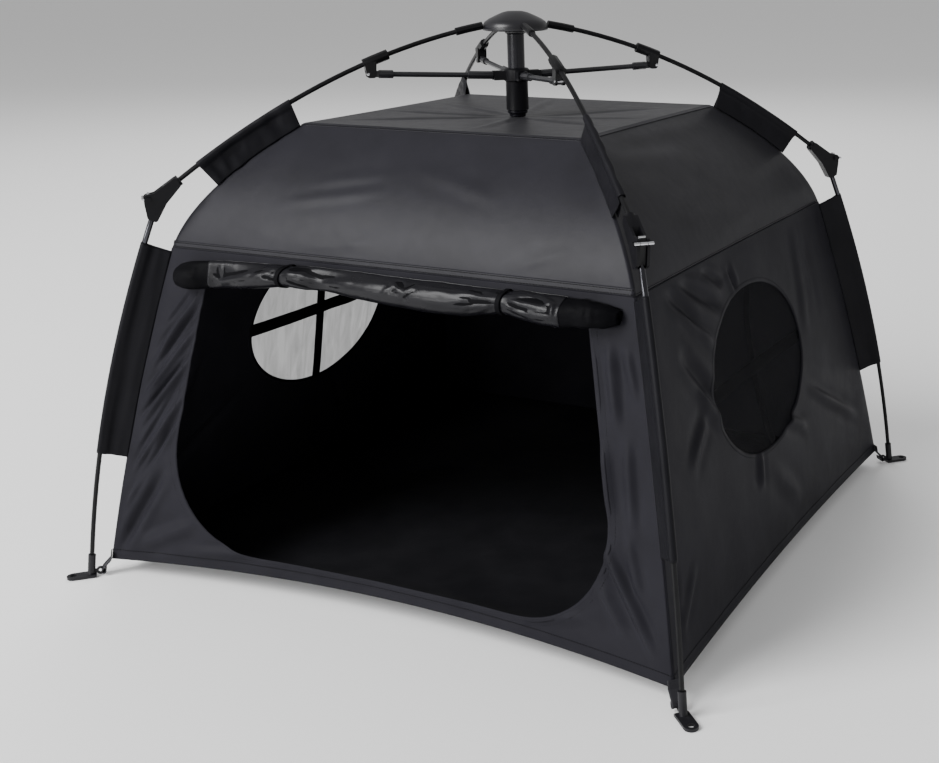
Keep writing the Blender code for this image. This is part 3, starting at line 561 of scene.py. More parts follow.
# the loop resampled: it starts at the point nearest to the first mark, passes the others in
# turn, and takes that many even steps between one mark and the next
def quarters(loop, marks, counts):
    area = np.sum(loop[:, 0] * np.roll(loop[:, 1], -1) - np.roll(loop[:, 0], -1) * loop[:, 1])
    if area < 0:
        loop = loop[::-1]
    fine = np.vstack([loop, loop[:1]])
    run = runAlong(fine)
    ring = pointsAt(np.linspace(0, run[-1], 4000, endpoint=False), run, fine)
    starts = [int(np.argmin(np.linalg.norm(ring - mark, axis=1))) for mark in marks]
    out = []
    for index, count in enumerate(counts):
        first, last = starts[index], starts[(index + 1) % len(starts)]
        if last <= first:
            last += len(ring)
        steps = first + (last - first) * np.arange(count) / count
        out.append(ring[np.rint(steps).astype(int) % len(ring)])
    return np.vstack(out)


# a wall with an opening: rings of cloth from the opening's edge out to the wall's own
def openPanel(name, cloth, loop, counts, rings):
    across = len(loop)
    inner = np.stack(shareAt(cloth, *loop.T), axis=1)
    box = np.array([(-1, 1), (1, 1), (1, 0), (-1, 0)], float)
    sides = zip(box, np.roll(box, -1, axis=0), counts)
    outer = np.vstack([first + (last - first) * np.arange(n)[:, None] / n for first, last, n in sides])

    def spots(a, b):
        index = np.rint(a * across).astype(int) % across
        return (inner[index] + (outer[index] - inner[index]) * b[:, None]).T

    def place(a, b):
        return clothSpot(cloth, *spots(a, b))[0]

    def flatSpot(a, b):
        u, t = spots(a, b)
        return np.stack([cloth["spot"](u, t)[:, 0], -t * flats["wall"][1]], axis=1)

    return sheetMesh(name, across, rings, place, flatSpot, closed=True)


def plainPanel(name, cloth, across, down, flatLong):
    def place(a, b):
        return clothSpot(cloth, 2 * a - 1, 1 - b)[0]

    def flatSpot(a, b):
        return np.stack([cloth["spot"](2 * a - 1, 1 - b)[:, 0], b * flatLong], axis=1)

    return sheetMesh(name, across, down, place, flatSpot)


# walls

frontWall = {
    "spot": wallSpot(cabin["frontHem"]), "turn": 0, "fade": 0.05, "depth": 1.6,
    "slack": 0.9, "scale": 11.0, "stretch": (1.0, 0.55), "seed": 3.0,
    "folds": [   # mm on the wall: x, z, x, z, width, height
        (-300, 262, -246, 338, 3.0, 1.8), (-304, 248, -243, 328, 2.6, -2.1),
        (-314, 218, -251, 296, 3.4, 2.5), (-320, 196, -256, 272, 2.6, -2.1),
        (-322, 182, -262, 256, 3.0, 2.2), (-330, 128, -266, 220, 3.4, 2.8),
        (-326, 150, -268, 238, 2.4, -1.7), (-334, 102, -272, 196, 3.0, -2.4),
        (-352, 30, -290, 132, 6.5, -3.4), (-342, 84, -292, 172, 3.4, 2.2),
        (-296, 272, -262, 318, 2.6, 1.4), (-288, 300, -256, 340, 2.2, -1.3),
        (-326, 38, -250, 72, 8.0, 2.0), (-260, 38, -170, 48, 6.0, 1.6), (264, 337, 280, 262, 5.5, 2.4),
        (284, 334, 300, 290, 5.0, 1.8), (266, 240, 279, 170, 6.0, 2.2), (292, 250, 306, 160, 5.5, 2.0),
        (274, 140, 338, 46, 5.0, 3.4), (271, 100, 304, 56, 6.0, 2.2), (300, 156, 318, 96, 5.0, 1.6),
        (180, 46, 262, 62, 6.0, 1.2),
    ],
}
rightWall = {
    "spot": wallSpot(cabin["sideHem"]), "turn": 90, "fade": 0.05, "depth": 1.35,
    "slack": 1.5, "scale": 9.0, "stretch": (1.0, 0.7), "seed": 11.0,
    "folds": [
        (-216, 372, -150, 322, 7.0, -2.6), (-182, 376, -92, 330, 7.5, -3.4),
        (-200, 350, -128, 300, 6.0, 2.2), (-122, 378, -74, 352, 5.5, -2.4),
        (-50, 366, -36, 338, 5.0, -2.0), (-212, 308, -150, 250, 9.0, -3.2),
        (-190, 262, -140, 214, 8.0, 2.6), (141, 170, 300, 92, 7.0, 3.2),
        (40, 164, 110, 134, 7.0, 2.6), (-48, 152, -60, 112, 8.0, 2.4),
        (176, 372, 160, 240, 11.0, 1.3), (210, 366, 214, 250, 9.0, -0.9),
        (-316, 126, -330, 40, 6.0, -1.4), (-268, 108, -318, 60, 6.0, 1.2),
        (-240, 196, -176, 236, 9.0, 2.0), (-20, 120, 60, 60, 12.0, 1.6),
    ],
}
leftWall = {
    "spot": wallSpot(cabin["sideHem"]), "turn": -90, "fade": 0.05,
    "slack": 1.5, "scale": 9.0, "stretch": (1.0, 0.7), "seed": 23.0,
    "folds": [
        (-210, 372, -146, 318, 7.0, 2.4), (-176, 378, -104, 334, 6.5, -2.4),
        (120, 372, 170, 322, 7.0, -2.6), (160, 374, 214, 316, 7.5, 2.8),
        (-300, 98, -150, 172, 7.0, 2.8), (150, 168, 296, 90, 7.5, 3.0),
        (-40, 140, -70, 84, 9.0, 2.0), (230, 250, 262, 160, 9.0, -2.0),
        (-318, 60, -266, 110, 6.0, 2.0), (316, 60, 262, 116, 6.0, -2.2),
    ],
}
backWall = {
    "spot": wallSpot(cabin["sideHem"]), "turn": 180, "fade": 0.05,
    "slack": 1.9, "scale": 7.0, "stretch": (1.0, 0.6), "seed": 37.0,
    "folds": [
        (-250, 366, -140, 250, 10.0, 2.6), (-150, 372, -90, 210, 12.0, -2.4),
        (250, 364, 150, 232, 11.0, 2.8), (80, 374, 60, 200, 12.0, 2.0),
        (-330, 50, -170, 190, 9.0, 3.0), (330, 48, 180, 180, 9.5, 3.0),
        (-310, 40, -240, 140, 7.0, -2.0), (-60, 60, 40, 150, 13.0, 1.6),
        (310, 36, 246, 120, 7.0, -2.0), (-20, 330, 20, 180, 14.0, -1.6),
    ],
}
walls = {"front": frontWall, "right": rightWall, "back": backWall, "left": leftWall}
slopes = {
    "front": {
        "spot": slopeSpot, "turn": 0, "fade": 0.06, "depth": 0.30,
        "slack": 0.5, "scale": 8.0, "stretch": (0.6, 1.2), "seed": 41.0,
        "folds": [
            (-116, 462, -28, 474, 5.0, 1.5), (-150, 440, -30, 458, 5.0, 1.8),
            (0, 482, 110, 458, 6.0, 1.6), (-112, 398, -24, 408, 5.0, 1.4),
            (-74, 418, -42, 404, 4.5, 1.0), (154, 400, 210, 420, 5.0, 1.5),
            (-210, 420, -150, 408, 7.0, 0.9),
        ],
    },
    "right": {
        "spot": slopeSpot, "turn": 90, "fade": 0.06, "depth": 0.55,
        "slack": 0.8, "scale": 8.0, "stretch": (0.6, 1.2), "seed": 47.0,
        "folds": [
            (-96, 452, 0, 458, 8.0, -2.0), (-130, 426, 30, 420, 10.0, 2.0),
            (-160, 494, 20, 476, 9.0, 1.8), (-150, 508, 110, 503, 6.0, 1.4),
            (-60, 404, 90, 412, 9.0, 1.2),
        ],
    },
    "back": {
        "spot": slopeSpot, "turn": 180, "fade": 0.06,
        "slack": 1.2, "scale": 7.0, "stretch": (0.6, 1.2), "seed": 53.0,
        "folds": [
            (-150, 430, -20, 444, 8.0, 1.8), (10, 470, 120, 456, 7.0, -1.6),
            (60, 410, 190, 418, 8.0, 1.5), (-90, 486, 30, 480, 7.0, 1.4),
        ],
    },
    "left": {
        "spot": slopeSpot, "turn": -90, "fade": 0.06,
        "slack": 1.2, "scale": 7.5, "stretch": (0.6, 1.2), "seed": 59.0,
        "folds": [
            (-130, 446, 10, 436, 8.0, 1.8), (30, 474, 130, 462, 7.0, 1.5),
            (-40, 408, 110, 402, 8.0, -1.5),
        ],
    },
}
roof = {
    "spot": roofSpot, "turn": 0, "fade": 0.05, "flatAxis": 1,
    "slack": 0.7, "scale": 10.0, "stretch": (1.0, 1.0), "seed": 61.0,
    "folds": [    # creases that run out from the mast's foot
        (-14, -8, -150, -128, 5.0, 1.5), (14, -8, 140, -60, 5.0, 1.6), (12, 10, 130, 126, 6.0, 1.4),
        (-12, 12, -140, 70, 5.5, 1.3), (2, -16, 30, -150, 6.0, 1.2), (-4, 16, -40, 150, 6.0, 1.3),
        (16, 0, 160, 14, 4.5, -1.2), (-16, 0, -160, -24, 5.0, 1.4),
    ],
}
flats = {   # metres across and down of the flat cloths, and square metres of those that narrow
    "wall": (0.724, 0.374), "wallMiddle": 0.65,
    "slope": (0.576, 0.176), "slopeDown": 0.175, "slopeArea": 0.0843,
    "roof": (0.353, 0.353), "floor": (0.722, 0.722), "net": (0.289, 0.196),
}
hemTape = {"inset": 0.017, "width": 0.0115, "stitchInset": 0.030}
door = {   # x, z and how far back each corner is cut, in the doorway's upright plane
    "corners": [
        (-0.2963, 0.044, 0.137), (0.3013, 0.044, 0.137), (0.2385, 0.366, 0.018), (-0.2335, 0.366, 0.018),
    ],
    "cornerSteps": 16,
    "marks": [(-0.2600, 0.0850), (0.2650, 0.0850), (0.2350, 0.3625), (-0.2300, 0.3625)],
    "counts": (150, 120, 130, 130), "rings": 32,
    "bindingWidth": 0.0055, "bindingInset": 0.0025, "stitchInset": 0.0088,
}
window = {
    "centreX": {"right": -0.0075, "left": -0.0045},     # each wall's own pull on its opening
    "centreZ": 0.2415, "half": (0.141, 0.0945), "steps": 116, "rings": 44,
    "bindingWidth": 0.0058, "bindingGrow": 0.0026, "stitchGrow": 0.0042,
    "netReach": 0.0035, "netSteps": 45, "netRings": 30,
    "netBehind": 0.0010, "netSag": 0.0022, "netRipple": 0.0014,
    "tapes": {"upright": (0.0160, 0.0018), "level": (0.0165, 0.0012)},     # width, and how far behind the net
    "crossing": {"right": (-0.016, 0.243), "left": (0.005, 0.247)},
}


def doorLoop(inset=0.0):
    loop = quarters(outline(door["corners"], door["cornerSteps"]), door["marks"], door["counts"])
    way = np.roll(loop, -1, axis=0) - np.roll(loop, 1, axis=0)
    return loop + unit(np.stack([way[:, 1], -way[:, 0]], axis=1)) * inset


def windowLoop(side, grow=0.0, steps=window["steps"]):
    angle = -3 * pi / 4 + 2 * pi * np.arange(4 * steps) / (4 * steps)
    across, up = window["half"]
    x = window["centreX"][side] + (across + grow) * np.cos(angle)
    return np.stack([x, window["centreZ"] + (up + grow) * np.sin(angle)], axis=1)


def sewStitches(owner, name, rows, side, gathers):
    thread = "thread" if side == "front" else "greyThread"
    piece = addPiece(name, stitchMesh(rows), thread, gathers=gathers)
    trims.setdefault(owner, []).append(piece)


def buildWalls():
    long, tall = flats["wall"]
    across, up = window["half"]
    for side, cloth in walls.items():
        owner = side + "_wall_sheet"
        area = flats["wallMiddle"] * tall
        if side == "front":
            mesh = openPanel(owner, cloth, doorLoop(), door["counts"], door["rings"])
            area = 0.3 * long * tall + 0.0001
        elif side == "back":
            mesh = plainPanel(owner, cloth, 150, 84, tall)
        else:
            mesh = openPanel(owner, cloth, windowLoop(side), (window["steps"],) * 4, window["rings"])
            area -= pi * across * up
        addCloth(
            owner, mesh, "wallCloth", side + "_wall",
        )
        low = edgePath(cloth, "bottom", hemTape["inset"], 0.0001)
        addTrim(owner, side + "_hem", low, hemTape["width"], crown=0.0002)
        rows = [edgePath(cloth, "bottom", hemTape["stitchInset"], 0.0007)]
        if side == "front":
            rim = onCloth(cloth, doorLoop(door["bindingInset"]), 0.0003)
            width = door["bindingWidth"]
            addTrim(owner, "door_binding", rim, width, crown=0.0005, closed=True, thickness=0.0006)
            rows.append(onCloth(cloth, doorLoop(door["stitchInset"]), 0.0003))
        elif side != "back":
            rim = onCloth(cloth, windowLoop(side, window["bindingGrow"]), 0.0001)
            addTrim(owner, side + "_window_binding", rim, window["bindingWidth"], crown=0.0002, closed=True)
            rows.append(onCloth(cloth, windowLoop(side, window["stitchGrow"]), 0.0006))
        sewStitches(owner, side + "_wall_stitches", rows, side, gathers=True)
    print("walls")


def buildWindows():
    for side in ("right", "left"):
        owner, cloth = side + "_window_net_sheet", walls[side]
        loop = windowLoop(side, window["netReach"], window["netSteps"])
        count = len(loop)
        middle = np.array((window["centreX"][side], window["centreZ"]))

        def flatPlace(a, b):
            index = np.rint(a * count).astype(int) % count
            return middle + (loop[index] - middle) * b[:, None]

        def netSpot(flat, share, behind=0.0):
            points, normals = onCloth(cloth, flat)
            grain = np.stack([flat[:, 0], flat[:, 1] + 0.7 * flat[:, 0], share * 0], axis=1)
            ripple = window["netRipple"] * rough(grain, 24.0, 7.0)
            sag = window["netBehind"] + (window["netSag"] + ripple) * (1 - share * share)
            return points - normals * (sag + behind)[:, None], normals

        def netPlace(a, b):
            return netSpot(flatPlace(a, b), b)[0]

        mesh = sheetMesh(owner, count, window["netRings"], netPlace, flatPlace, closed=True)
        net = addPiece(owner, mesh, "insectNet", gathers=True)
        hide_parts(side + "_window_net")
        x, z = window["crossing"][side]
        across, up = window["half"]
        reach = up * sqrt(1 - ((x - middle[0]) / across) ** 2) + 0.002
        wide = across * sqrt(1 - ((z - middle[1]) / up) ** 2) + 0.006
        rise = np.linspace(-1, 1, 40)
        bow = {"right": 0.020 * rise ** 2 - 0.002 * rise, "left": 0.004 * rise}[side]
        lines = {
            "upright": np.stack([x + bow, middle[1] + rise * reach], axis=1),
            "level": np.stack([middle[0] + np.linspace(-wide, wide, 60), np.full(60, z)], axis=1),
        }
        for name, line in lines.items():
            width, behind = window["tapes"][name]
            share = np.clip(np.linalg.norm((line - middle) / np.array((across, up)), axis=1), 0, 1)
            tape = netSpot(line, share, behind)
            addTrim(owner, f"{side}_window_tape_{name}", tape, width, material="tapeCloth", thickness=0.0005)
    print("windows")


def buildSlopes():
    for side, cloth in slopes.items():
        owner = side + "_slope_sheet"
        addCloth(
            owner, plainPanel(owner, cloth, 140, 44, flats["slopeDown"]), "slopeCloth",
            side + "_slope",
            gathers=False,
        )
        rows = [edgePath(cloth, "top", 0.016, 0.0001, 90), edgePath(cloth, "bottom", 0.016, 0.0001)]
        if side == "front":      # the others have no more than their topstitching
            low, high = edgePath(cloth, "bottom", 0.030, 0.0001), edgePath(cloth, "top", 0.012, 0.0001, 90)
            seams = (("shoulder", low, 0.0088, 0.0003), ("roof", high, 0.0036, 0.0002))
            for name, path, width, thickness in seams:
                addTrim(
                    owner, f"front_{name}_seam", path, width, crown=0.0001,
                    material="slopeCloth", thickness=thickness, gathers=False,
                )
            rows = [edgePath(cloth, "top", 0.016, 0.0004, 90)]
            rows += [edgePath(cloth, "bottom", inset, 0.0005) for inset in (0.014, 0.046)]
        sewStitches(owner, side + "_slope_stitches", rows, side, gathers=False)
    mesh = plainPanel("roof_panel_sheet", roof, 90, 90, 2 * cabin["roofHalf"])
    addCloth(
        "roof_panel_sheet", mesh, "roofCloth", "roof_panel",
        gathers=False,
    )
    print("slopes and roof")


floor = {"seamed": 0.0008, "flatShare": 0.72, "thickness": 0.0016, "ripples": ((0.0022, 2.3), (0.0011, 6.5))}


# flat on the ground, with its rim drawn up and sewn under the walls' lower edges
def buildFloor():
    half = cabin["baseHalf"] + floor["seamed"]
    (frontDrawn, frontLift), (sideDrawn, sideLift) = cabin["frontHem"], cabin["sideHem"]

    def place(a, b):
        u, v = 2 * a - 1, 2 * b - 1
        drawnY = np.where(v < 0, frontDrawn, sideDrawn) * (1 - u * u)
        liftY = np.where(v < 0, frontLift, sideLift) * (1 - u * u)
        drawnX, liftX = sideDrawn * (1 - v * v), sideLift * (1 - v * v)
        lift = np.where(np.abs(v) >= np.abs(u), liftY, liftX)
        share = ramp(np.maximum(np.abs(u), np.abs(v)), floor["flatShare"], 1.0)
        spots = np.stack([u, v, np.zeros(len(u))], axis=1)
        (high, scale), (fineHigh, fineScale) = floor["ripples"]
        ripple = high * np.abs(rough(spots, scale, 71.0)) + fineHigh * np.abs(rough(spots, fineScale, 72.0))
        rise = (cabin["baseZ"] + 0.0002 + lift) * share + (ripple + floor["thickness"]) * (1 - share)
        return np.stack([u * (half - drawnX), v * (half - drawnY), rise], axis=1)

    def flatSpot(a, b):
        return np.stack([(2 * a - 1) * half, (2 * b - 1) * half], axis=1)

    mesh = sheetMesh("floor_panel_sheet", 120, 120, place, flatSpot)
    addCloth("floor_panel_sheet", mesh, "floorCloth", "floor_panel")
    print("floor")


# rolled door

roll = {
    # x, height of the middle, radius, and the belly's radius as a share of it
    "stations": (
        (-0.266, 0.3584, 0.0124, 0.90), (-0.260, 0.3592, 0.0166, 0.85), (-0.241, 0.3606, 0.0182, 0.80),
        (-0.221, 0.3628, 0.0176, 0.45), (-0.210, 0.3636, 0.0172, 0.38), (-0.192, 0.3648, 0.0166, 0.60),
        (-0.167, 0.3664, 0.0154, 0.76), (-0.145, 0.3677, 0.0138, 0.88), (-0.119, 0.3696, 0.0112, 0.98),
        (-0.106, 0.3702, 0.0127, 0.95), (-0.090, 0.3706, 0.0133, 0.80), (-0.072, 0.3706, 0.0135, 0.58),
        (-0.041, 0.3696, 0.0145, 0.80), (-0.005, 0.3681, 0.0156, 0.90), (0.036, 0.3668, 0.0163, 0.92),
        (0.070, 0.3664, 0.0173, 0.92), (0.105, 0.3664, 0.0163, 0.94), (0.130, 0.3676, 0.0140, 0.95),
        (0.151, 0.3688, 0.0116, 0.95), (0.168, 0.3688, 0.0146, 0.90), (0.190, 0.3672, 0.0160, 0.88),
        (0.218, 0.3660, 0.0168, 0.90), (0.230, 0.3670, 0.0142, 0.95), (0.240, 0.3672, 0.0148, 0.98),
        (0.256, 0.3668, 0.0138, 0.98), (0.268, 0.3664, 0.0112, 0.98), (0.274, 0.3660, 0.0078, 0.98),
        (0.277, 0.3658, 0.0042, 0.98),
    ),
    "smoothing": 15, "edgeAt": 150,       # degrees round the section, where the outer edge lies
    "topRadius": 0.36, "topOut": 1.3,     # of the flat upper part: as shares of the radius, and of its own
    "hangs": (0.2915, 0.0413), "off": 0.0012,     # half width and t of the wall behind it, and how far off
    "turns": 5.2, "perTurn": 34, "wound": 0.936, "core": 0.0034, "mapDown": 0.30, "flatDown": 0.27,
    "grain": (0.9, 0.9, 42), "waves": ((0.0009, 1.0, 81.0), (0.0006, 2.9, 83.0)), "turnIn": 0.25,
    "crumple": {"from": 0.222, "to": 0.240, "more": 2.2},      # the right end of the net
    "pleats": {"count": 9, "height": 0.0012, "off": 0.012, "width": 0.014},     # beside each tie
    "ties": ((-0.114, -0.124), (0.153, 0.149)),     # x of each above and below
    "tie": {"width": 0.0052, "thickness": 0.0009, "out": 1.07, "topAt": 0.08, "steps": 48},
    "sheets": (   # name, finish, left, right, share of the radius, crush, steps along it
        ("door_roll_sheet", "doorCloth", -0.223, 0.220, 1.00, 0.55, 250),
        ("door_net_roll", "netRoll", -0.2655, 0.2768, 0.955, 0.9, 240),
    ),
    "folds": {
        "door_roll_sheet": [      # mm: x, z, x, z, width, height
            (-219, 361, -209, 355, 2.2, 1.3), (-211, 355, -158, 371, 2.8, 1.8),
            (-158, 368, -134, 375, 2.0, 1.5), (-205, 377, -204, 360, 2.4, 1.2),
            (-144, 379, -126, 380, 2.4, 1.7), (-146, 372, -124, 366, 2.0, -1.8),
            (-114, 376, -96, 375, 2.4, 1.4), (-98, 376, -70, 368, 2.6, 1.7),
            (-74, 368, -26, 375, 3.0, 1.2), (-112, 368, -84, 360, 2.2, -1.4),
            (-110, 381, -86, 381, 2.0, -1.2), (22, 379, 43, 371, 1.9, 1.9),
            (30, 380, 39, 377, 1.8, -2.2), (42, 371, 54, 379, 1.9, 1.9), (14, 368, 30, 378, 2.0, 1.4),
            (55, 378, 108, 376, 3.0, 1.0), (48, 372, 40, 364, 2.2, -1.0), (104, 378, 150, 372, 2.2, 1.9),
            (108, 374, 149, 370, 1.9, -1.8), (110, 361, 147, 371, 2.1, 2.1),
            (96, 366, 146, 369, 1.9, -1.9), (118, 357, 147, 368, 2.0, 1.6),
            (128, 381, 150, 375, 1.8, 1.3), (154, 377, 190, 382, 2.0, 2.2),
            (190, 382, 212, 377, 2.0, 2.2), (212, 378, 213, 366, 2.2, 2.0),
            (154, 370, 190, 361, 2.1, 2.3), (190, 362, 214, 364, 2.0, 2.0),
            (157, 373, 178, 376, 1.8, 1.7), (176, 376, 198, 371, 1.9, 1.6),
            (160, 372, 184, 367, 1.9, -2.2), (166, 378, 205, 378, 2.2, -2.0),
        ],
        "door_net_roll": [
            (-241, 376, -236, 373, 2.2, 1.6), (-240, 370, -235, 367, 2.2, 1.6),
            (-240, 362, -235, 359, 2.2, 1.6), (243, 378, 247, 364, 2.4, 1.6),
            (252, 376, 255, 362, 2.4, 1.4), (236, 376, 262, 372, 3.0, -1.2),
        ],
    },
}


# outlines of the roll's section, belly down and drawn flat up to the seam, as distances out
# from the wall and heights, at even steps along the roll and round each outline
def rollShapes(count=260, points=96):
    table, wide = np.array(roll["stations"]), roll["smoothing"]
    x = np.linspace(table[0, 0], table[-1, 0], count)
    kernel = np.hanning(wide) / np.hanning(wide).sum()
    rows = [np.pad(np.interp(x, table[:, 0], column), wide // 2, mode="edge") for column in table.T[1:]]
    angle = radians(roll["edgeAt"]) + np.linspace(0, 2 * pi, 721)
    normal = np.stack([np.cos(angle), np.sin(angle)], axis=1)
    shapes = []
    for z, radius, belly in zip(*[np.convolve(row, kernel, "valid") for row in rows]):
        low, high = radius * belly, radius * roll["topRadius"]
        middles = np.array(((low, low - radius), (high * roll["topOut"], radius - high)))
        pick = np.argmax(normal @ middles.T + np.array((low, high)), axis=1)
        hull = middles[pick] + normal * np.array((low, high))[pick][:, None]
        run = runAlong(hull)
        shapes.append(pointsAt(np.linspace(0, run[-1], points + 1), run, hull) + np.array((0, z)))
    return x, np.array(shapes)


rollX, rollOutlines = rollShapes()
rollMiddles = rollOutlines.mean(axis=1)


# points of the roll: turn counts its turns, and share 1 is the outermost one
def rollSpot(x, turn, share, folds=(), crush=0.0):
    across = np.clip((x - rollX[0]) / (rollX[-1] - rollX[0]), 0, 1) * (len(rollX) - 1.001)
    around = np.mod(turn, 1.0) * (rollOutlines.shape[1] - 1.001)
    i, j = across.astype(int), around.astype(int)
    a, b = (across - i)[:, None], (around - j)[:, None]
    first = rollOutlines[i, j] * (1 - b) + rollOutlines[i, j + 1] * b
    second = rollOutlines[i + 1, j] * (1 - b) + rollOutlines[i + 1, j + 1] * b
    spot = first * (1 - a) + second * a
    middle = rollMiddles[i] * (1 - a) + rollMiddles[i + 1] * a
    reach = np.linalg.norm(spot - middle, axis=1)
    way = unit(spot - middle)
    lift = np.zeros(len(x))
    if crush:
        loose, pleat = roll["crumple"], roll["pleats"]
        grain = np.stack([way[:, 0], way[:, 1], x], axis=1) * np.array(roll["grain"])
        creases = sum(high * rough(grain, scale, seed) for high, scale, seed in roll["waves"])
        lift += crush * (1 + loose["more"] * ramp(x, loose["from"], loose["to"])) * creases
        front = ramp(way[:, 0], -roll["turnIn"], roll["turnIn"])
        lift += front * foldHeight(x, spot[:, 1], folds)
        for top, bottom in roll["ties"]:
            off = np.abs(x - (top + bottom) / 2) - pleat["off"]
            near = np.exp(-((off / pleat["width"]) ** 2))
            wave = np.cos(2 * pi * np.mod(turn, 1.0) * pleat["count"])
            lift += crush * pleat["height"] * near * wave * (1 - front)
    reach = roll["core"] + (reach - roll["core"]) * share + lift * share ** 2
    half, t = roll["hangs"]
    face = frontWall["spot"](x / half, np.full(len(x), t))[:, 1] - roll["off"]
    out, z = (middle + way * reach[:, None]).T
    return np.stack([x, face - out, z], axis=1)


def buildDoorRoll():
    turns = roll["turns"]
    for name, material, left, right, outer, crush, along in roll["sheets"]:
        folds = roll["folds"][name]

        def place(a, b):
            share = outer * (1 - b * roll["wound"])
            return rollSpot(left + (right - left) * a, turns * b, share, folds, crush)

        def flatSpot(a, b):
            return np.stack([left + (right - left) * a, b * roll["mapDown"]], axis=1)

        mesh = sheetMesh(name, along, int(turns * roll["perTurn"]), place, flatSpot)
        piece = addPiece(name, mesh, material)
        thicken(piece, 0.0004)
        if name == "door_roll_sheet":
            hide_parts("door_roll")
    tie = roll["tie"]
    for index, (top, bottom) in enumerate(roll["ties"]):
        turn = np.linspace(0, 1, tie["steps"] + 1)[:-1]
        x = (top + bottom) / 2 + (top - bottom) / 2 * np.cos(2 * pi * (turn - tie["topAt"]))
        points = rollSpot(x, turn, np.full(tie["steps"], tie["out"]))
        off = (points - points.mean(axis=0)) * np.array((0, 1, 1))
        addTrim(
            "door_roll_sheet", f"door_tie_{index}", (points, unit(off)), tie["width"], closed=True,
            material="netRoll", thickness=tie["thickness"], gathers=False,
        )
    print("rolled door")


# sleeves over the rods, in the upright plane of one corner

rib = {"start": 0.036, "z": 0.6200, "slope": 0.170, "bend": 0.785}
leg = {"r": 0.4262, "z": 0.4164, "lean": 0.4070, "bend": 0.3413}
sleeve = {      # the tunnel round the rod, how far round it the cloth goes, and the two flaps below it
    "tunnel": 0.0038, "wrap": 0.30, "wrapAngle": 118, "closed": 0.0008, "least": 0.0006, "seamIn": 0.0004,
    "apart": 0.7, "calm": 0.35, "calmEnd": 0.93, "out": 0.8, "lean": 0.4, "along": 90, "around": 44,
}
sleeves = {     # ends along the rod and along the corner seam, then the flaps and their creases
    "upper": {
        "rod": (0.2647, 0.3704), "seam": (0.5135, 0.4517), "pinch": 0.22,
        "spread": 0.0034, "gather": 0.0042, "waves": 7.5, "ridges": 0.8,
        "flat": (0.118, 0.078), "area": 0.0084,
    },
    "lower": {
        "rod": (0.3918, 0.1513), "seam": (0.3800, 0.1424), "pinch": 0.40,
        "spread": 0.0016, "gather": 0.0016, "waves": 3.2, "ridges": 3.0,
        "flat": (0.262, 0.092), "area": 0.0193,
    },
}


def seamR(z):
    high = slopeHalf((cabin["roofZ"] - z) / (cabin["roofZ"] - cabin["shoulderZ"]))
    low = wallHalf((cabin["shoulderZ"] - z) / (cabin["shoulderZ"] - cabin["baseZ"]))
    return sqrt(2) * np.where(z >= cabin["shoulderZ"], high, low)


def ribSpot(r):
    reach = r - rib["start"]
    return np.stack([r, np.zeros(len(r)), rib["z"] - rib["slope"] * reach - rib["bend"] * reach ** 2], axis=1)


def legSpot(z):
    drop = leg["z"] - z
    return np.stack([leg["r"] + leg["lean"] * drop - leg["bend"] * drop ** 2, np.zeros(len(z)), z], axis=1)


def sleeveMesh(name, kind, seed):
    settings = sleeves[kind]
    low, high = settings["rod"]
    seamLow, seamHigh = settings["seam"]
    rodSpot = ribSpot if kind == "upper" else legSpot
    tunnel, wrap, closed, pinch = sleeve["tunnel"], sleeve["wrap"], sleeve["closed"], settings["pinch"]
    turned = radians(sleeve["wrapAngle"])

    def place(a, b):
        onRod = rodSpot(low + (high - low) * a)
        seamZ = seamLow + (seamHigh - seamLow) * a
        onSeam = np.stack([seamR(seamZ) - sleeve["seamIn"], np.zeros(len(a)), seamZ], axis=1)
        depth = np.linalg.norm(onSeam - onRod, axis=1)
        side = np.where(b < 0.5, -1.0, 1.0)
        share = np.abs(2 * b - 1)            # 0 over the rod, 1 at the seam
        angle = np.clip(share / wrap, 0, 1) * turned
        flap = np.clip((share - wrap) / (1 - wrap), 0, 1)
        start = -cos(turned) * tunnel
        reach = np.where(share < wrap, -np.cos(angle) * tunnel, start + (depth - start) * flap)
        drawn = ramp(flap, 0, pinch)
        neck = tunnel * sin(turned) * (1 - drawn) + closed * drawn
        flare = closed + (settings["spread"] - closed) * ramp(flap, pinch, 1.0)
        width = np.where(share < wrap, np.sin(angle) * tunnel, np.where(flap < pinch, neck, flare))
        down = side * sleeve["apart"] + flap * settings["ridges"]
        grain = np.stack([a * settings["waves"], down, np.full(len(a), seed)], axis=1)
        swell = sleeve["calm"] + (1 - sleeve["calm"]) * np.sin(pi * np.clip(flap, 0, sleeve["calmEnd"]))
        gather = settings["gather"] * rough(grain, 1.0, seed) * swell
        points = onRod + unit(onSeam - onRod) * reach[:, None]
        width = np.maximum(width + gather * sleeve["out"], sleeve["least"])
        points[:, 1] = side * width + gather * sleeve["lean"]
        return points

    def flatSpot(a, b):
        return np.stack([a * settings["flat"][0], b * settings["flat"][1]], axis=1)

    return sheetMesh(name, sleeve["along"], sleeve["around"], place, flatSpot)


def buildSleeves():
    for number, corner in enumerate(corners):
        for kind, settings in sleeves.items():
            name = f"{kind}_sleeve_{corner}"
            mesh = turnMesh(sleeveMesh(name + "_sheet", kind, 91.0 + number * 3.7), corner)
            addCloth(
                name + "_sheet", mesh, "blackCloth", name,
                gathers=kind == "lower",
            )
    print("sleeves")


# webbing straps at the base corners

strap = {      # distances out and heights in the upright plane of one corner
    "width": 0.013, "thickness": 0.0012, "length": 0.037, "steps": 48,
    "hang": ((0.5111, 0.0275), (0.5131, 0.0187), (0.5178, 0.0140), (0.5222, 0.0096)),
    "ring": (0.5222, 0.0058), "bend": 0.0022,      # round the wire of the foot's ring
    "end": (0.5192, 0.0092),
}


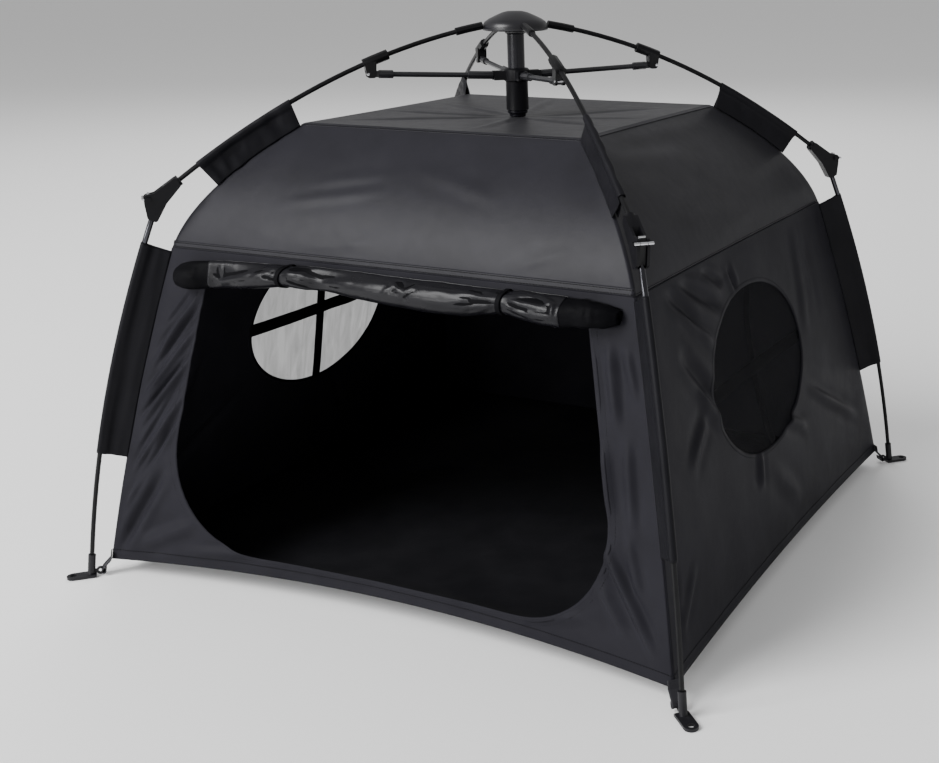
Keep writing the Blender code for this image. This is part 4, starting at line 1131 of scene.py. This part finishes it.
# a tab of webbing hangs from each base corner, and its end is folded round the ring on the foot
def buildStraps():
    turns = np.radians(np.arange(60, -191, -25))
    wrap = np.stack([np.cos(turns), np.sin(turns)], axis=1) * strap["bend"] + np.array(strap["ring"])
    rungs = np.vstack([strap["hang"], wrap, [strap["end"]]])
    run = runAlong(rungs)
    r, z = pointsAt(np.linspace(0, run[-1], strap["steps"] + 1), run, rungs).T
    path = np.stack([r, np.zeros(len(r)), z], axis=1)
    way = np.gradient(path, axis=0)
    normals = unit(np.stack([-way[:, 2], way[:, 1], way[:, 0]], axis=1))
    for corner in corners:
        name = "corner_strap_" + corner
        mesh = stripMesh(name + "_webbing", path, normals, strap["width"], columns=8)
        # the webbing finish carries painted light against the shade under the corner
        piece = addPiece(name + "_webbing", turnMesh(mesh, corner), "webbing", gathers=True)
        thicken(piece, strap["thickness"], 0.0)
        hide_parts(name)
    print("straps")


# rods and mouldings: welded, finely bevelled copies of the solids

rigid = {     # solid: finish, slot, bevel in m, sharp angle in degrees
    "hub_cap": ("capPlastic", "hard_plastic", 0.0003, 40),
    "mast_tube": ("paintedTube", "tube_metal", 0.0003, 40),
    "slider_collar": ("plastic", "hard_plastic", 0.0004, 35),
    "rib": ("fibreglass", "fibreglass", 0.0003, 40),
    "strut": ("strutTube", "fibreglass", 0.0003, 40),
    "elbow": ("plastic", "hard_plastic", 0.0005, 35),
    "leg": ("fibreglass", "fibreglass", 0.0003, 40),
    "foot": ("footPlastic", "hard_plastic", 0.0005, 35),
}


def copySolid(node, name, material, slot, width, sharp, body):
    bm = bmesh.new()
    bm.from_mesh(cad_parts[node].data)
    bmesh.ops.remove_doubles(bm, verts=bm.verts[:], dist=0.000005)
    bmesh.ops.dissolve_limit(bm, angle_limit=radians(0.6), verts=bm.verts[:], edges=bm.edges[:])
    piece = addPiece(name, meshFrom(name, bm), material, body, angle=sharp)
    bevel = piece.modifiers.new("edges", "BEVEL")
    bevel.width, bevel.segments = width, 2
    bevel.limit_method, bevel.angle_limit = "ANGLE", radians(sharp)
    bevel.use_clamp_overlap = True
    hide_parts(node)


def buildRigid():
    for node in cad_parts:
        kind = next((key for key in rigid if node.startswith(key)), None)
        if kind is None:
            continue
        body = node.removeprefix(kind + "_") + "_leg" if kind in ("leg", "foot") else "root"
        suffix = "_rod" if kind in ("rib", "strut", "leg") else "_moulding"
        copySolid(node, node + suffix, *rigid[kind], body)
    print("rods and mouldings")


metal = {      # each pin's place in the upright plane of one corner, its radius and its ends across it
    "pins": {
        "elbow_rivet_left": ((0.4324, 0.4418), 0.0016, (-0.0098, -0.0041), "root"),
        "elbow_rivet_right": ((0.4324, 0.4418), 0.0016, (0.0041, 0.0098), "root"),
        "eye_bar": ((0.4324, 0.4418), 0.0016, (-0.0037, 0.0037), "leg"),     # these two turn with the leg
        "eye_stop": ((0.4262, 0.4466), 0.0013, (-0.0037, 0.0037), "leg"),
        "bracket_pin": ((0.1758, 0.5685), 0.0017, (-0.0063, 0.0063), "root"),
    },
    "ferrule": (0.0032, 0.4330, 0.3790),     # radius, and the heights of its ends
}


# a round bar from one end to the other, its rims bevelled
def cylinderMesh(name, ends, radius, sides=24, edge=0.0003):
    start, end = Vector(ends[0]), Vector(ends[1])
    turn = (end - start).to_track_quat("Z", "X").to_matrix().to_4x4()
    bm = bmesh.new()
    bmesh.ops.create_cone(
        bm, cap_ends=True, segments=sides, radius1=radius, radius2=radius, depth=(end - start).length,
        matrix=Matrix.Translation((start + end) / 2) @ turn,
    )
    rims = [e for e in bm.edges if any(len(f.verts) > 4 for f in e.link_faces)]
    bmesh.ops.bevel(
        bm, geom=rims, offset=edge, offset_type="OFFSET", segments=2, profile=0.5, affect="EDGES", material=-1
    )
    return meshFrom(name, bm)


# bright pins at the forks, and the ferrule at the top of each leg
def buildMetal():
    for corner in corners:
        for kind, ((r, z), radius, across, part) in metal["pins"].items():
            name = kind + "_" + corner
            mesh = turnMesh(cylinderMesh(name, [(r, y, z) for y in across], radius), corner)
            body = corner + "_leg" if part == "leg" else "root"
            addPiece(name, mesh, "brightMetal", body, angle=40)
        radius, high, low = metal["ferrule"]
        name = "leg_ferrule_" + corner
        mesh = turnMesh(cylinderMesh(name, legSpot(np.array((high, low))), radius), corner)
        addPiece(name, mesh, "darkSteel", corner + "_leg", angle=40)
    print("pins and ferrules")


buildWalls()
buildWindows()
buildSlopes()
buildFloor()
buildDoorRoll()
buildSleeves()
buildStraps()
buildRigid()
buildMetal()
